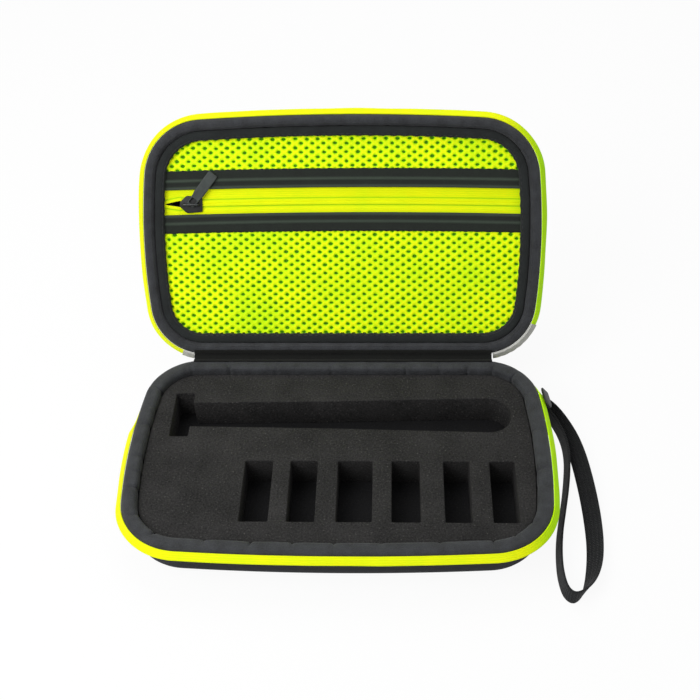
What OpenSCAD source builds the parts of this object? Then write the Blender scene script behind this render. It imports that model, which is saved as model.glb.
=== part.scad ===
// Hard case for an electric shaver, standing open
// Origin at the middle of the base's flat underside, +Z up, +Y towards the hinge, +X to the right

/* [Case] */
// Width of the case over the rim binding, left to right
case_w = 226; // [190:1:275]
// Depth of the case over the rim binding, front to hinge
case_d = 136; // [114:1:165]
// Height of the base up to the outer edge of its rim
base_h = 27; // [23:0.5:34]
// Height of the lid up to the outer edge of its rim
lid_h = 24; // [20:0.5:30]
// Radius of the front edge's slow bow
front_r = 1330; // [900:10:3000]
// Radius of each short side's bow
side_r = 354; // [300:1:700]
// Corner radius at the front
front_corner_r = 34; // [26:1:40]
// Corner radius at the hinge
hinge_corner_r = 30; // [25:1:38]

/* [Shells] */
// Thickness of the moulded foam shell with its cloth skin
shell_t = 2.4; // [1.6:0.1:3]
// Thickness of the cloth lining inside each shell
lining_t = 0.6; // [0.4:0.1:1]
// Radius where the shell's wall turns into its flat face
shell_edge_r = 9; // [7:0.5:11]
// How far the wall leans in from the rim down to that radius
shell_draft = 2; // [0:0.1:3]
// Distance from the binding's outer edge in to the shell's wall at the rim
wall_inset = 2.2; // [1.8:0.1:3]

/* [Rim binding] */
// Width of the base's padded binding, seen from above
base_binding_w = 8; // [7:0.1:10]
// Width of the lid's binding, seen from above
lid_binding_w = 6.2; // [5.9:0.1:7]
// How far the binding's crown stands above its outer edge
binding_puff = 1.2; // [0.6:0.1:1.6]
// Radius of the binding's crown
binding_r = 2.6; // [2:0.1:3]

/* [Foam tray] */
// Thickness of the foam pad on the floor
pad_t = 2.8; // [2:0.1:5]
// Distance from the rim's outer edge down to the tray's face
tray_drop = 3; // [2:0.5:6]
// Length of the pocket for the shaver's head, across the case
head_l = 32; // [24:1:36]
// Width of the pocket for the shaver's head
head_w = 10.4; // [8:0.1:14]
// Foam left between the tray's left edge and the head pocket
head_margin = 11; // [8:0.5:14]
// Foam left between the tray's hinge edge and the head pocket
head_back_margin = 15; // [10:0.5:18]
// Width of the handle's channel next to the head
handle_neck_w = 17.4; // [14:0.2:20]
// Width of the handle's channel halfway along
handle_mid_w = 20.2; // [16:0.2:22]
// Width of the handle's channel at its round end
handle_end_w = 25; // [20:0.2:27]
// Foam left between the handle's round end and the tray's right edge
handle_margin = 10; // [8:0.5:14]
// Widths of the slots for the combs, left to right
slot_widths = [15, 14.5, 18.5, 15, 14, 13.5];
// Foam left between one slot and the next
slot_webs = [9.4, 10.8, 10, 12.3, 10.4];
// Length of each slot
slot_l = 40; // [30:1:42]
// Foam left between the last slot and the tray's right edge
slot_margin = 10.6; // [8:0.2:14]
// Foam left between the slots and the tray's front edge
slot_front_margin = 14.5; // [8:0.5:18]

/* [Hinge] */
// Angle that the lid stands open, from shut
open_angle = 123; // [95:1:135]
// Gap between the two rims' outer edges when the lid is shut
rim_gap = 8; // [6:0.5:10]
// Length of the cloth hinge
hinge_l = 172; // [110:1:176]
// Thickness of the outer hinge cloth
hinge_outer_t = 0.8; // [0.5:0.1:1]
// Thickness of the inner hinge cloth
hinge_inner_t = 0.6; // [0.4:0.1:0.8]

/* [Main zip] */
// Width of zip tape that shows outside the binding
tape_w = 4.75; // [4:0.05:6]
// Thickness of the zip tape
tape_t = 0.7; // [0.5:0.1:0.8]
// Angle that the open zip tape droops below level
tape_droop = 53; // [45:1:60]
// Width of one half of the zip's coil
coil_w = 1.8; // [1.5:0.1:2]
// Thickness of one half of the zip's coil
coil_t = 1.4; // [1.2:0.1:1.5]
// How far round the hinge corner the tape runs, from facing right
tape_end_angle = 74; // [60:1:80]
// Distance of the slider's middle behind the case's middle
main_slider_y = 41; // [30:1:43]

/* [Lid pocket] */
// Width of the border sewn round the pocket
border_w = 5.6; // [4:0.1:7]
// Thickness of the border
border_t = 2.7; // [2:0.1:3]
// Thickness of the spacer mesh
mesh_t = 1.6; // [1:0.1:2]
// Distance from the hinge line to the middle of the pocket's zip
pocket_zip_v = 86.3; // [60:0.1:90]
// Width of each strip that edges the mesh beside the zip
edging_w = 11; // [9:0.1:13]
// Width of zip tape that shows above the zip's middle
tape_show_up = 7.9; // [6:0.1:9]
// Width of zip tape that shows below the zip's middle
tape_show_down = 6.1; // [5.8:0.1:9]
// Gap between the two halves of the pocket's zip
pocket_zip_gap = 1.2; // [1:0.1:2]
// Distance from the mesh window's left edge to the pocket slider's middle
pocket_slider_in = 15.3; // [13:0.1:30]

/* [Sliders and pulls] */
// Length of a slider
slider_l = 13; // [11:0.5:15]
// Width of the pocket's slider
pocket_slider_w = 10; // [8:0.5:11]
// Width of the main zip's slider
main_slider_w = 7.4; // [6:0.2:7.6]
// Length of a pull from its pivot to its end
pull_l = 22; // [18:1:26]
// Width of a pull at its eye
pull_w = 5; // [4:0.2:6]
// Width of the pocket pull's blade, beyond its eye
blade_w = 6; // [5:0.2:7]
// Thickness of a pull
pull_t = 1.2; // [0.8:0.1:1.3]
// Angle of the pocket's pull from the zip's line
pocket_pull_angle = 52; // [45:1:120]

/* [Wrist strap] */
// Width of the strap's webbing
strap_w = 10; // [8:0.5:12]
// Thickness of the strap's webbing
strap_t = 1; // [0.8:0.1:1.4]
// Height of the strap's middle where it leaves the wall
strap_exit_z = 9.5; // [8:0.5:11]

/* [Hidden] */
$fn = 48;

black = [0.07, 0.07, 0.08];
charcoal = [0.16, 0.16, 0.17];
neon = [0.78, 1, 0.02];
grey = [0.62, 0.62, 0.58];

// Clearances: between layers glued in one piece, and between pieces that move apart
glue_gap = 0.1;
run_gap = 0.3;

// Outline of the rim: a front arc, two side arcs, four corner arcs and a straight hinge side
half_w = case_w / 2;
half_d = case_d / 2;
side_c = [half_w - side_r, 0];
front_c = [0, front_r - half_d];
hinge_corner = [side_c.x + sqrt(pow(side_r - hinge_corner_r, 2) - pow(half_d - hinge_corner_r, 2)),
    half_d - hinge_corner_r];
// The front corner's centre lies where circles inside the front and side arcs meet
centre_gap = norm(side_c - front_c);
to_front = (pow(side_r - front_corner_r, 2) - pow(front_r - front_corner_r, 2)
    + centre_gap * centre_gap) / (2 * centre_gap);
off_line = sqrt(pow(side_r - front_corner_r, 2) - to_front * to_front);
line = (front_c - side_c) / centre_gap;
front_corner = side_c + line * to_front + [line.y, -line.x] * off_line;
// Angles where one arc hands over to the next
side_front_angle = atan2(front_corner.y, front_corner.x - side_c.x);
side_hinge_angle = atan2(hinge_corner.y, hinge_corner.x - side_c.x);
front_side_angle = atan2(front_corner.y - front_c.y, front_corner.x);

function arc_start(centre, r, from, to, steps) =
    [for (i = [0:steps - 1]) centre + r * [cos(from + (to - from) * i / steps),
        sin(from + (to - from) * i / steps)]];
function arc_points(centre, r, from, to, steps) =
    concat(arc_start(centre, r, from, to, steps), [centre + r * [cos(to), sin(to)]]);
// Points of the outline at a distance in from it: from the front's middle round to the hinge corner
function right_run(inset, hinge_end) = concat(
    arc_start(front_c, front_r - inset, -90, front_side_angle, 4),
    arc_start(front_corner, front_corner_r - inset, front_side_angle, side_front_angle, 10),
    arc_start(side_c, side_r - inset, side_front_angle, side_hinge_angle, 6),
    arc_points(hinge_corner, hinge_corner_r - inset, side_hinge_angle, hinge_end, 10));
function backward(points) = [for (i = [len(points) - 1:-1:0]) points[i]];
function flip(p) = [-p.x, p.y];
function left_run(run) = [for (i = [len(run) - 1:-1:1]) flip(run[i])];
function all_round(inset) = let (run = right_run(inset, 90)) concat(run, left_run(run));
function open_run(inset, hinge_end) = let (run = right_run(inset, hinge_end))
    concat(left_run(run), run);

module plan(inset) polygon(all_round(inset));

module plan_slab(inset, z, t) translate([0, 0, z]) linear_extrude(t) plan(inset);

// Sectors of the plan that the arcs share: each has its corners on the arcs' own centres
reach = 60;
depth_of_cut = 120;
function outward(angle) = reach * [cos(angle), sin(angle)];
module sector(points) translate([0, 0, -depth_of_cut / 2]) linear_extrude(depth_of_cut) polygon(points);
front_sector = [flip(front_corner), flip(front_corner + outward(front_side_angle)),
    front_corner + outward(front_side_angle), front_corner];
front_corner_sector = [front_corner, front_corner + outward(front_side_angle),
    front_corner + 2 * outward((front_side_angle + side_front_angle) / 2),
    front_corner + outward(side_front_angle)];
side_sector = [front_corner, front_corner + outward(side_front_angle),
    hinge_corner + outward(side_hinge_angle), hinge_corner];
hinge_corner_sector = [hinge_corner, hinge_corner + outward(side_hinge_angle),
    hinge_corner + 2 * outward((side_hinge_angle + 90) / 2), hinge_corner + outward(90)];
hinge_sector = [hinge_corner, hinge_corner + outward(90), flip(hinge_corner + outward(90)),
    flip(hinge_corner)];

// Carries a profile along one arc and trims it to its sector, so that neighbours meet face to face
// A profile's x is its distance in from the outline, and its y is height
spare = 2;
module arc_sweep(centre, r, from, to, trim) intersection() {
    translate([centre.x, centre.y, 0]) rotate([0, 0, from - spare])
        rotate_extrude(angle = to - from + 2 * spare, $fn = 256)
            translate([r, 0]) mirror([1, 0]) children();
    sector(trim);
}

module both_sides() {
    children();
    mirror([1, 0, 0]) children();
}

// Carries a profile all the way round
module sweep_round() {
    both_sides() {
        arc_sweep(front_corner, front_corner_r, front_side_angle, side_front_angle,
            front_corner_sector) children();
        arc_sweep(side_c, side_r, side_front_angle, side_hinge_angle, side_sector) children();
        arc_sweep(hinge_corner, hinge_corner_r, side_hinge_angle, 90,
            hinge_corner_sector) children();
    }
    arc_sweep(front_c, front_r, -180 - front_side_angle, front_side_angle, front_sector) children();
    intersection() {
        translate([-half_w, half_d, 0]) rotate([90, 0, 90])
            linear_extrude(case_w) mirror([1, 0]) children();
        sector(hinge_sector);
    }
}

// Heights in a shell, from its flat face
rim_drop = 3.5;
function wall_top(h) = h - rim_drop;
function fillet_c() = wall_inset + shell_draft + shell_edge_r;
function wall_line(depth, h) = concat(
    [[wall_inset + depth, wall_top(h)]],
    arc_points([fillet_c(), shell_edge_r], shell_edge_r - depth, 180, 270, 6));

// Faces between two rings of n points each, and the solid that they close
function between(a, b, n, last) = [for (i = [0:last], t = [0, 1]) t == 0
    ? [a * n + i, a * n + (i + 1) % n, b * n + (i + 1) % n]
    : [a * n + i, b * n + (i + 1) % n, b * n + i]];
function lifted(points, z) = [for (p = points) [p.x, p.y, z]];

// Cup between two depths under the shell's outer face: rings go down outside and up inside
module cup(h, outer, inner) {
    outside = [for (p = wall_line(outer, h)) lifted(all_round(p.x), p.y)];
    inside = [for (p = backward(wall_line(inner, h))) lifted(all_round(p.x), p.y)];
    rings = concat(outside, inside);
    n = len(rings[0]);
    floor_ring = len(outside) - 1;
    polyhedron(points = [for (r = rings) each r], faces = concat(
        [for (k = [0:len(rings) - 1]) if (k != floor_ring)
            each between(k, (k + 1) % len(rings), n, n - 1)],
        [[for (i = [0:n - 1]) floor_ring * n + i]],
        [[for (i = [n - 1:-1:0]) (floor_ring + 1) * n + i]]));
}

// A section carried round the sides and front, and round each hinge corner up to an angle
module carried_open(section, hinge_end) {
    rings = [for (p = section) lifted(open_run(p.x, hinge_end), p.y)];
    n = len(rings[0]);
    last = len(rings) - 1;
    polyhedron(points = [for (r = rings) each r], faces = concat(
        [for (k = [0:last]) each between(k, (k + 1) % len(rings), n, n - 2)],
        [[for (k = [0:last]) k * n]],
        [[for (k = [last:-1:0]) k * n + n - 1]]));
}

lining_outer = shell_t + glue_gap;
lining_inner = lining_outer + lining_t;

// Binding: a crowned roll that straddles the rim, with a short outer lip and a longer inner leg
leg_drop = 6;
lip_drop = 3;
module binding_profile(h, w) polygon(concat(
    [[wall_inset - glue_gap, h - lip_drop], [0, h - lip_drop]],
    arc_points([binding_r, h + binding_puff - binding_r], binding_r, 180, 90, 5),
    arc_points([w - binding_r, h + binding_puff - binding_r], binding_r, 90, 0, 5),
    [[w, h - leg_drop], [rim_slot_inner(h), h - leg_drop],
    [rim_slot_inner(h), h - rim_drop + glue_gap],
    [wall_inset - glue_gap, h - rim_drop + glue_gap]]));
// The inner leg stands clear of the lining, which leans in as it goes down
function lean_per_mm(h) = shell_draft / (wall_top(h) - shell_edge_r);
function rim_slot_inner(h) = wall_inset + lining_inner + (leg_drop - rim_drop) * lean_per_mm(h)
    + glue_gap;

// Zip tape in section: along the tape from its seam, and through it towards the coil
tape_seam = [-0.45, 0.1];
tape_along = [-cos(tape_droop), -sin(tape_droop)];
tape_through = [sin(tape_droop), -cos(tape_droop)];
function tape_point(h, along, through) =
    [tape_seam.x, h + tape_seam.y] + tape_along * along + tape_through * through;
function tape_section(h, from, to, top, bottom) = [
    tape_point(h, from, top), tape_point(h, to, top),
    tape_point(h, to, bottom), tape_point(h, from, bottom)];
coil_proud = 0.25;
module zip_tape(h) carried_open(tape_section(h, 0, tape_w, 0, tape_t), tape_end_angle);
module zip_coil(h) carried_open(tape_section(h, tape_w + coil_proud - coil_w,
    tape_w + coil_proud, tape_t + glue_gap, tape_t + glue_gap + coil_t), tape_end_angle);

// Hinge line and the lid's place: u runs along X, v away from the hinge line, n out of the lid
axis_y = half_d;
axis_z = base_h + rim_gap / 2;
lean = 180 - open_angle;
module in_lid() translate([0, axis_y, axis_z]) rotate([lean, 0, 0])
    translate([0, half_d, -rim_gap / 2]) children();
// The lid's shell turned so that its straight side lies at the hinge, rim at height 0
module lid_turned() in_lid() rotate([0, 0, 180]) translate([0, 0, -lid_h]) children();

module base_shell() color(black) cup(base_h, 0, shell_t);
module base_lining() color(charcoal) cup(base_h, lining_outer, lining_inner);
module base_rim_binding() color(black) sweep_round() binding_profile(base_h, base_binding_w);
module base_zip_tape() color(neon) zip_tape(base_h);
module base_zip_coil() color(black) zip_coil(base_h);

module lid_shell() color(black) lid_turned() cup(lid_h, 0, shell_t);
module lid_lining() color(charcoal) lid_turned() cup(lid_h, lining_outer, lining_inner);
module lid_rim_binding() color(black) lid_turned()
    sweep_round() binding_profile(lid_h, lid_binding_w);
module lid_zip_tape() color(neon) lid_turned() zip_tape(lid_h);
module lid_zip_coil() color(black) lid_turned() zip_coil(lid_h);

// Grey cloth that is folded over the lid's tape at each hinge corner, longer on the right
cover_t = 0.5;
cover_long_from = 24;
cover_short_from = 62;
cover_from_seam = 0.6;
module end_cover(from) arc_sweep(hinge_corner, hinge_corner_r, from, tape_end_angle,
    [hinge_corner, hinge_corner + outward(from), hinge_corner + outward(tape_end_angle)])
    polygon(tape_section(lid_h, cover_from_seam, tape_w + coil_proud, -glue_gap - cover_t,
        -glue_gap));
module lid_zip_end_covers() color(grey) lid_turned() {
    mirror([1, 0, 0]) end_cover(cover_long_from);
    end_cover(cover_short_from);
}

// Foam: a floor pad, and on it a thick tray that is cut right through
pad_over_fillet = 0.6;
pad_inset = fillet_c() - pad_over_fillet;
pad_z = lining_inner + glue_gap;
tray_play = 0.6;
tray_inset = base_binding_w + tray_play;
tray_z = pad_z + pad_t + glue_gap;
tray_top = base_h - tray_drop;
tray_half_w = half_w - tray_inset;
tray_front = -half_d + tray_inset;
tray_back = half_d - tray_inset;

module foam_floor_pad() color(charcoal) plan_slab(pad_inset, pad_z, pad_t);

head_x = -tray_half_w + head_margin;
handle_y = tray_back - head_back_margin - head_l / 2;
cut_overlap = 0.5;
handle_from = head_x + head_w - cut_overlap;
handle_to = tray_half_w - handle_margin - handle_end_w / 2;
handle_mid = (handle_from + handle_to) / 2;
slot_y = tray_front + slot_front_margin;
function slots_after(i) = i >= len(slot_widths) - 1 ? 0
    : slot_webs[i] + slot_widths[i + 1] + slots_after(i + 1);
function slot_x(i) = tray_half_w - slot_margin - slots_after(i) - slot_widths[i];

module shaver_outline() {
    translate([head_x, handle_y - head_l / 2]) square([head_w, head_l]);
    translate([0, handle_y]) polygon([
        [handle_from, -handle_neck_w / 2], [handle_mid, -handle_mid_w / 2],
        [handle_to, -handle_end_w / 2], [handle_to, handle_end_w / 2],
        [handle_mid, handle_mid_w / 2], [handle_from, handle_neck_w / 2]]);
    translate([handle_to, handle_y]) circle(d = handle_end_w);
}

module foam_tray() color(charcoal) difference() {
    plan_slab(tray_inset, tray_z, tray_top - tray_z);
    translate([0, 0, tray_z - 1]) linear_extrude(tray_top - tray_z + 2) {
        shaver_outline();
        for (i = [0:len(slot_widths) - 1])
            translate([slot_x(i), slot_y]) square([slot_widths[i], slot_l]);
    }
}

// Hinge cloths in section: distance in from the outer face, and height above the hinge line
cloth_gap = 0.25;
glued_h = 8;
lip_edge = -rim_gap / 2 - lip_drop;
crown_top = -rim_gap / 2 + binding_puff;
outer_off = hinge_outer_t / 2 + cloth_gap;
inner_off = hinge_inner_t / 2 + cloth_gap;
fold_back = 0.8;
dip = 0.4;
inner_cross = 0.2;
function wall_at(z) = wall_inset + (wall_top(base_h) - z) * lean_per_mm(base_h);
function on_wall(y) = wall_at(axis_z + y) - hinge_outer_t / 2 - glue_gap;
outer_fold = [[on_wall(lip_edge - glued_h), lip_edge - glued_h],
    [on_wall(lip_edge - 2 * outer_off), lip_edge - 2 * outer_off],
    [-outer_off, lip_edge - outer_off], [-outer_off, -rim_gap / 2 - fold_back]];
inner_fold = [[binding_r, crown_top + inner_off], [binding_r / 3, crown_top + inner_off - dip],
    [-inner_cross, -rim_gap / 2 + dip]];
function on_base(p) = [axis_y - p.x, axis_z + p.y];
function on_lid(p) = [axis_y + p.x * cos(lean) - p.y * sin(lean),
    axis_z + p.x * sin(lean) + p.y * cos(lean)];
function fold_path(fold) = concat([for (p = fold) on_base(p)],
    [for (p = backward(fold)) on_lid(p)]);
function unit(v) = v / norm(v);
function side_step(path, i) = let (t = unit(path[min(i + 1, len(path) - 1)] - path[max(i - 1, 0)]))
    [-t.y, t.x];
function ribbon(path, t) = concat(
    [for (i = [0:len(path) - 1]) path[i] + side_step(path, i) * t / 2],
    [for (i = [len(path) - 1:-1:0]) path[i] - side_step(path, i) * t / 2]);
module hinge_cloth(fold, t) translate([-hinge_l / 2, 0, 0]) rotate([90, 0, 90])
    linear_extrude(hinge_l) polygon(ribbon(fold_path(fold), t));
module hinge_outer_cloth() color(black) hinge_cloth(outer_fold, hinge_outer_t);
module hinge_inner_cloth() color(charcoal) hinge_cloth(inner_fold, hinge_inner_t);

// Pocket in the lid, in lid heights below the rim's outer edge
border_inset = lid_binding_w + run_gap;
window_inset = border_inset + border_w;
border_top = -0.2;
border_bottom = border_top - border_t;
mesh_top = border_bottom - glue_gap;
sewn_under = 1.5;
mesh_inset = border_inset + sewn_under;
edging_t = 0.5;
edging_z = mesh_top + glue_gap;
ptape_t = 0.6;
ptape_sunk = 1.4;
ptape_z = mesh_top - ptape_sunk;
pcoil_w = 2.2;
pcoil_t = 1.8;
tape_under = 2.3;
zip_v = pocket_zip_v - half_d;
upper_edge_v = zip_v + tape_show_up;
lower_edge_v = zip_v - tape_show_down;

// A band across the pocket, trimmed to the lid's outline
module lid_band(inset, from, to, z, t) in_lid() translate([0, 0, z]) linear_extrude(t)
    intersection() {
        rotate(180) plan(inset);
        translate([-case_w, from]) square([2 * case_w, to - from]);
    }

module pocket_border() color(black) in_lid() translate([0, 0, border_bottom])
    linear_extrude(border_t) rotate(180) difference() {
        plan(border_inset);
        plan(window_inset);
    }
module pocket_mesh_upper() color(neon) lid_band(mesh_inset, upper_edge_v + tape_under + glue_gap,
    case_d, mesh_top - mesh_t, mesh_t);
module pocket_mesh_lower() color(neon) lid_band(mesh_inset, -case_d,
    lower_edge_v - tape_under - glue_gap, mesh_top - mesh_t, mesh_t);
module pocket_edging_upper() color(black) lid_band(window_inset + glue_gap, upper_edge_v,
    upper_edge_v + edging_w, edging_z, edging_t);
module pocket_edging_lower() color(black) lid_band(window_inset + glue_gap,
    lower_edge_v - edging_w, lower_edge_v, edging_z, edging_t);
module pocket_zip_tape_upper() color(neon) lid_band(mesh_inset, zip_v + pocket_zip_gap / 2,
    upper_edge_v + tape_under, ptape_z, ptape_t);
module pocket_zip_tape_lower() color(neon) lid_band(mesh_inset, lower_edge_v - tape_under,
    zip_v - pocket_zip_gap / 2, ptape_z, ptape_t);
pcoil_z = ptape_z - glue_gap - pcoil_t;
pcoil_under = 2;
pcoil_inset = window_inset - pcoil_under;
module pocket_zip_coil_upper() color(black) lid_band(pcoil_inset, zip_v + pocket_zip_gap / 2,
    zip_v + pocket_zip_gap / 2 + pcoil_w, pcoil_z, pcoil_t);
module pocket_zip_coil_lower() color(black) lid_band(pcoil_inset,
    zip_v - pocket_zip_gap / 2 - pcoil_w, zip_v - pocket_zip_gap / 2, pcoil_z, pcoil_t);

// Crimped stops under each end of the pocket's zip, outside the slider's run
window_end = half_w - window_inset;
stop_l = 1.6;
stop_t = 0.8;
stop_in = 3.4;
module pocket_zip_stops() color(black) in_lid() both_sides()
    translate([window_end - stop_in, zip_v - pocket_zip_gap / 2 - pcoil_w,
        pcoil_z - glue_gap - stop_t])
        cube([stop_l, 2 * pcoil_w + pocket_zip_gap, stop_t]);

// A slider: two plates with a post between them, nose towards -X, bail side up
plate_t = 1;
post_w = 0.6;
post_l = 4;
nose_w = 2.4;
nose_l = 4;
tail_share = 0.8;
post_back = 1.2;
module slider_plate(w) linear_extrude(plate_t) polygon([
    [-slider_l / 2, -nose_w / 2], [-slider_l / 2 + nose_l, -w / 2], [slider_l / 2, -w * tail_share / 2],
    [slider_l / 2, w * tail_share / 2], [-slider_l / 2 + nose_l, w / 2], [-slider_l / 2, nose_w / 2]]);
module slider_body(w, above, below) {
    translate([0, 0, above]) slider_plate(w);
    translate([0, 0, -below - plate_t]) slider_plate(w);
    translate([-slider_l / 2 + post_back, -post_w / 2, -below - plate_t / 2])
        cube([post_l, post_w, above + below + plate_t]);
}

// The bail arches over the plate and leaves room for the end of the pull
bail_w = 1.3;
bail_t = 1;
bail_room = pull_t + 2 * run_gap;
module slider_bail(above, l) translate([0, 0, above + plate_t + glue_gap]) {
    for (x = [-l / 2, l / 2 - bail_t])
        translate([x, -bail_w / 2, 0]) cube([bail_t, bail_w, bail_room + bail_t - glue_gap]);
    translate([-l / 2, -bail_w / 2, bail_room - glue_gap]) cube([l, bail_w, bail_t]);
}

// A pull: a flat tab with an eye, and a round bar that lies under the bail. Its blade may be wider
eye_wall = 0.8;
pull_tip = 1.8;
module pull(above, eye_l, blade) translate([0, 0, above + plate_t + run_gap + pull_t / 2]) {
    neck_l = eye_l + 2 * eye_wall;
    translate([0, 0, -pull_t / 2]) linear_extrude(pull_t) difference() {
        union() {
            translate([0, -pull_w / 2]) square([neck_l + pull_tip, pull_w]);
            polygon([[neck_l, -pull_w / 2], [neck_l + pull_tip, -blade / 2],
                [pull_l - pull_tip, -blade / 2], [pull_l, -blade / 2 + pull_tip],
                [pull_l, blade / 2 - pull_tip], [pull_l - pull_tip, blade / 2],
                [neck_l + pull_tip, blade / 2], [neck_l, pull_w / 2]]);
        }
        translate([-1, -pull_w / 2 + eye_wall]) square([eye_l + 1, pull_w - 2 * eye_wall]);
    }
    rotate([90, 0, 0]) cylinder(h = pull_w, d = pull_t, center = true);
}

// Pocket slider: the bail is on the tape's face, and the coil runs behind
pocket_slider_u = -window_end + pocket_slider_in;
pocket_above = ptape_t / 2 + run_gap + glue_gap;
pocket_below = ptape_t / 2 + glue_gap + pcoil_t + run_gap;
pocket_bail_l = 10;
pocket_eye_l = 4;
module at_pocket_slider() in_lid()
    translate([pocket_slider_u, zip_v, ptape_z + ptape_t / 2]) children();
module pocket_slider_body() color(black) at_pocket_slider()
    slider_body(pocket_slider_w, pocket_above, pocket_below);
module pocket_slider_bail() color(black) at_pocket_slider()
    slider_bail(pocket_above, pocket_bail_l);
module pocket_pull_tab() color(black) at_pocket_slider()
    rotate([0, 0, pocket_pull_angle]) pull(pocket_above, pocket_eye_l, blade_w);

// Main slider on the base's tape: it turns about the side arc's centre as it runs forward
main_slider_angle = asin(main_slider_y / side_r);
main_along = tape_w + coil_proud + run_gap + post_w / 2;
main_mid = tape_t / 2;
corner_play = 0.8;
main_above = tape_t / 2 + glue_gap + coil_t + corner_play;
main_below = tape_t / 2 + 2 * run_gap;
main_bail_l = 7;
main_eye_l = main_bail_l / 2 + 4 * run_gap;
// Local +X runs back along the zip, and local +Z faces from the tape through the coil
module at_main_slider() translate([side_c.x, side_c.y, 0]) rotate([0, 0, main_slider_angle])
    translate([side_r - tape_point(base_h, main_along, main_mid).x, 0,
        tape_point(base_h, main_along, main_mid).y])
        rotate([0, 180 + tape_droop, 0]) rotate([0, 0, 90]) children();
module main_slider_body() color(black) at_main_slider()
    slider_body(main_slider_w, main_above, main_below);
module main_slider_bail() color(black) at_main_slider() slider_bail(main_above, main_bail_l);
module main_pull_tab() color(black) at_main_slider()
    rotate([0, 0, 180]) pull(main_above, main_eye_l, pull_w);

// Tab of folded webbing that holds the strap's two ends against the wall, on the hinge corner
tab_angle = 26;
tab_out = 1.6;
tab_w = 4;
tab_h = 11;
tab_top = strap_exit_z + tab_h / 2;
tab_bottom = strap_exit_z - tab_h / 2;
function tab_inner(z) = hinge_corner_r - wall_at(z) + glue_gap;
module strap_tab() color(black) translate([hinge_corner.x, hinge_corner.y, 0])
    rotate([0, 0, tab_angle]) translate([0, tab_w / 2, 0]) rotate([90, 0, 0])
        linear_extrude(tab_w) polygon([
            [tab_inner(tab_bottom), tab_bottom], [tab_inner(tab_top) + tab_out, tab_bottom],
            [tab_inner(tab_top) + tab_out, tab_top], [tab_inner(tab_top), tab_top]]);

// Route of the strap: the middle of the webbing, and how far its width leans from upright
strap_route = [
    [106, 51.5, 9.5, 0], [112, 52.6, 9.4, 0], [117, 50.2, 8.8, -8], [121.6, 44.6, 7.4, -22],
    [126, 36, 5.8, -36], [129.6, 26, 4.5, -47], [132, 13.6, 3.8, -54], [133.4, 0, 3.5, -57],
    [134.2, -14, 3.4, -58], [134.4, -28, 3.4, -58], [133.8, -42, 3.6, -54], [132, -54.6, 3.9, -48],
    [128.8, -65.4, 4.6, -33], [124.6, -72.8, 5.3, -14], [119.4, -76.4, 5.6, 0], [115.6, -73, 5.5, 6],
    [114, -64, 5.4, 9], [114.2, -52.6, 5.3, 11], [115.8, -39.6, 5.2, 13], [118.6, -26, 5.2, 14],
    [121.6, -12, 5.2, 14], [124, 2, 5.3, 13], [125.2, 14.4, 5.6, 10], [124.4, 25.6, 6.3, 6],
    [121.2, 36, 7.4, 2], [116.4, 44, 8.7, 0], [111.6, 48, 9.4, 0], [107.2, 49.7, 9.5, 0]];

function place(i) = [strap_route[i][0], strap_route[i][1], strap_route[i][2]];
function along(i) = unit(place(min(i + 1, len(strap_route) - 1)) - place(max(i - 1, 0)));
// Across the strap: upright, leaned over to the strap's side, and square to its run
function across(i) = let (t = along(i), side = unit(cross(t, [0, 0, 1])), up = cross(side, t),
    a = strap_route[i][3]) up * cos(a) + side * sin(a);
// Eight-sided section of the webbing, with its corners taken off
function strap_ring(i) = let (w = across(i), n = cross(along(i), w), a = strap_w / 2, b = strap_t / 2)
    [for (k = [[a - b, b], [-a + b, b], [-a, b / 2], [-a, -b / 2],
        [-a + b, -b], [a - b, -b], [a, -b / 2], [a, b / 2]])
        place(i) + w * k.x + n * k.y];
sides = 8;
rings = len(strap_route);
module wrist_strap() color(black) polyhedron(
    points = [for (i = [0:rings - 1]) each strap_ring(i)],
    faces = concat(
        [[for (k = [0:sides - 1]) k]],
        [for (i = [0:rings - 2], k = [0:sides - 1])
            [i * sides + k, (i + 1) * sides + k, (i + 1) * sides + (k + 1) % sides]],
        [for (i = [0:rings - 2], k = [0:sides - 1])
            [i * sides + k, (i + 1) * sides + (k + 1) % sides, i * sides + (k + 1) % sides]],
        [[for (k = [sides - 1:-1:0]) (rings - 1) * sides + k]]));

base_shell();
base_lining();
base_rim_binding();
base_zip_tape();
base_zip_coil();
foam_tray();
foam_floor_pad();
hinge_outer_cloth();
hinge_inner_cloth();
strap_tab();
wrist_strap();
lid_shell();
lid_lining();
lid_rim_binding();
lid_zip_tape();
lid_zip_coil();
lid_zip_end_covers();
pocket_border();
pocket_mesh_upper();
pocket_mesh_lower();
pocket_edging_upper();
pocket_edging_lower();
pocket_zip_tape_upper();
pocket_zip_tape_lower();
pocket_zip_coil_upper();
pocket_zip_coil_lower();
pocket_zip_stops();
pocket_slider_body();
pocket_slider_bail();
pocket_pull_tab();
main_slider_body();
main_slider_bail();
main_pull_tab();
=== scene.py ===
# %% [markdown]
# # A hard case for an electric shaver
# The case stands open on a table. Its moving and load-bearing pieces come from a CAD model that is
# already packed, and this script dresses them: it makes the cloth, mesh, foam, zips and webbing as
# meshes with procedural materials. Lengths are written in millimetres, because that is how such a
# case is drawn, and MM turns them into the scene's metres.

# %% Load the fixed frame
import math

import bmesh
import bpy
import numpy as np
from mathutils import Matrix, Vector


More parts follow.
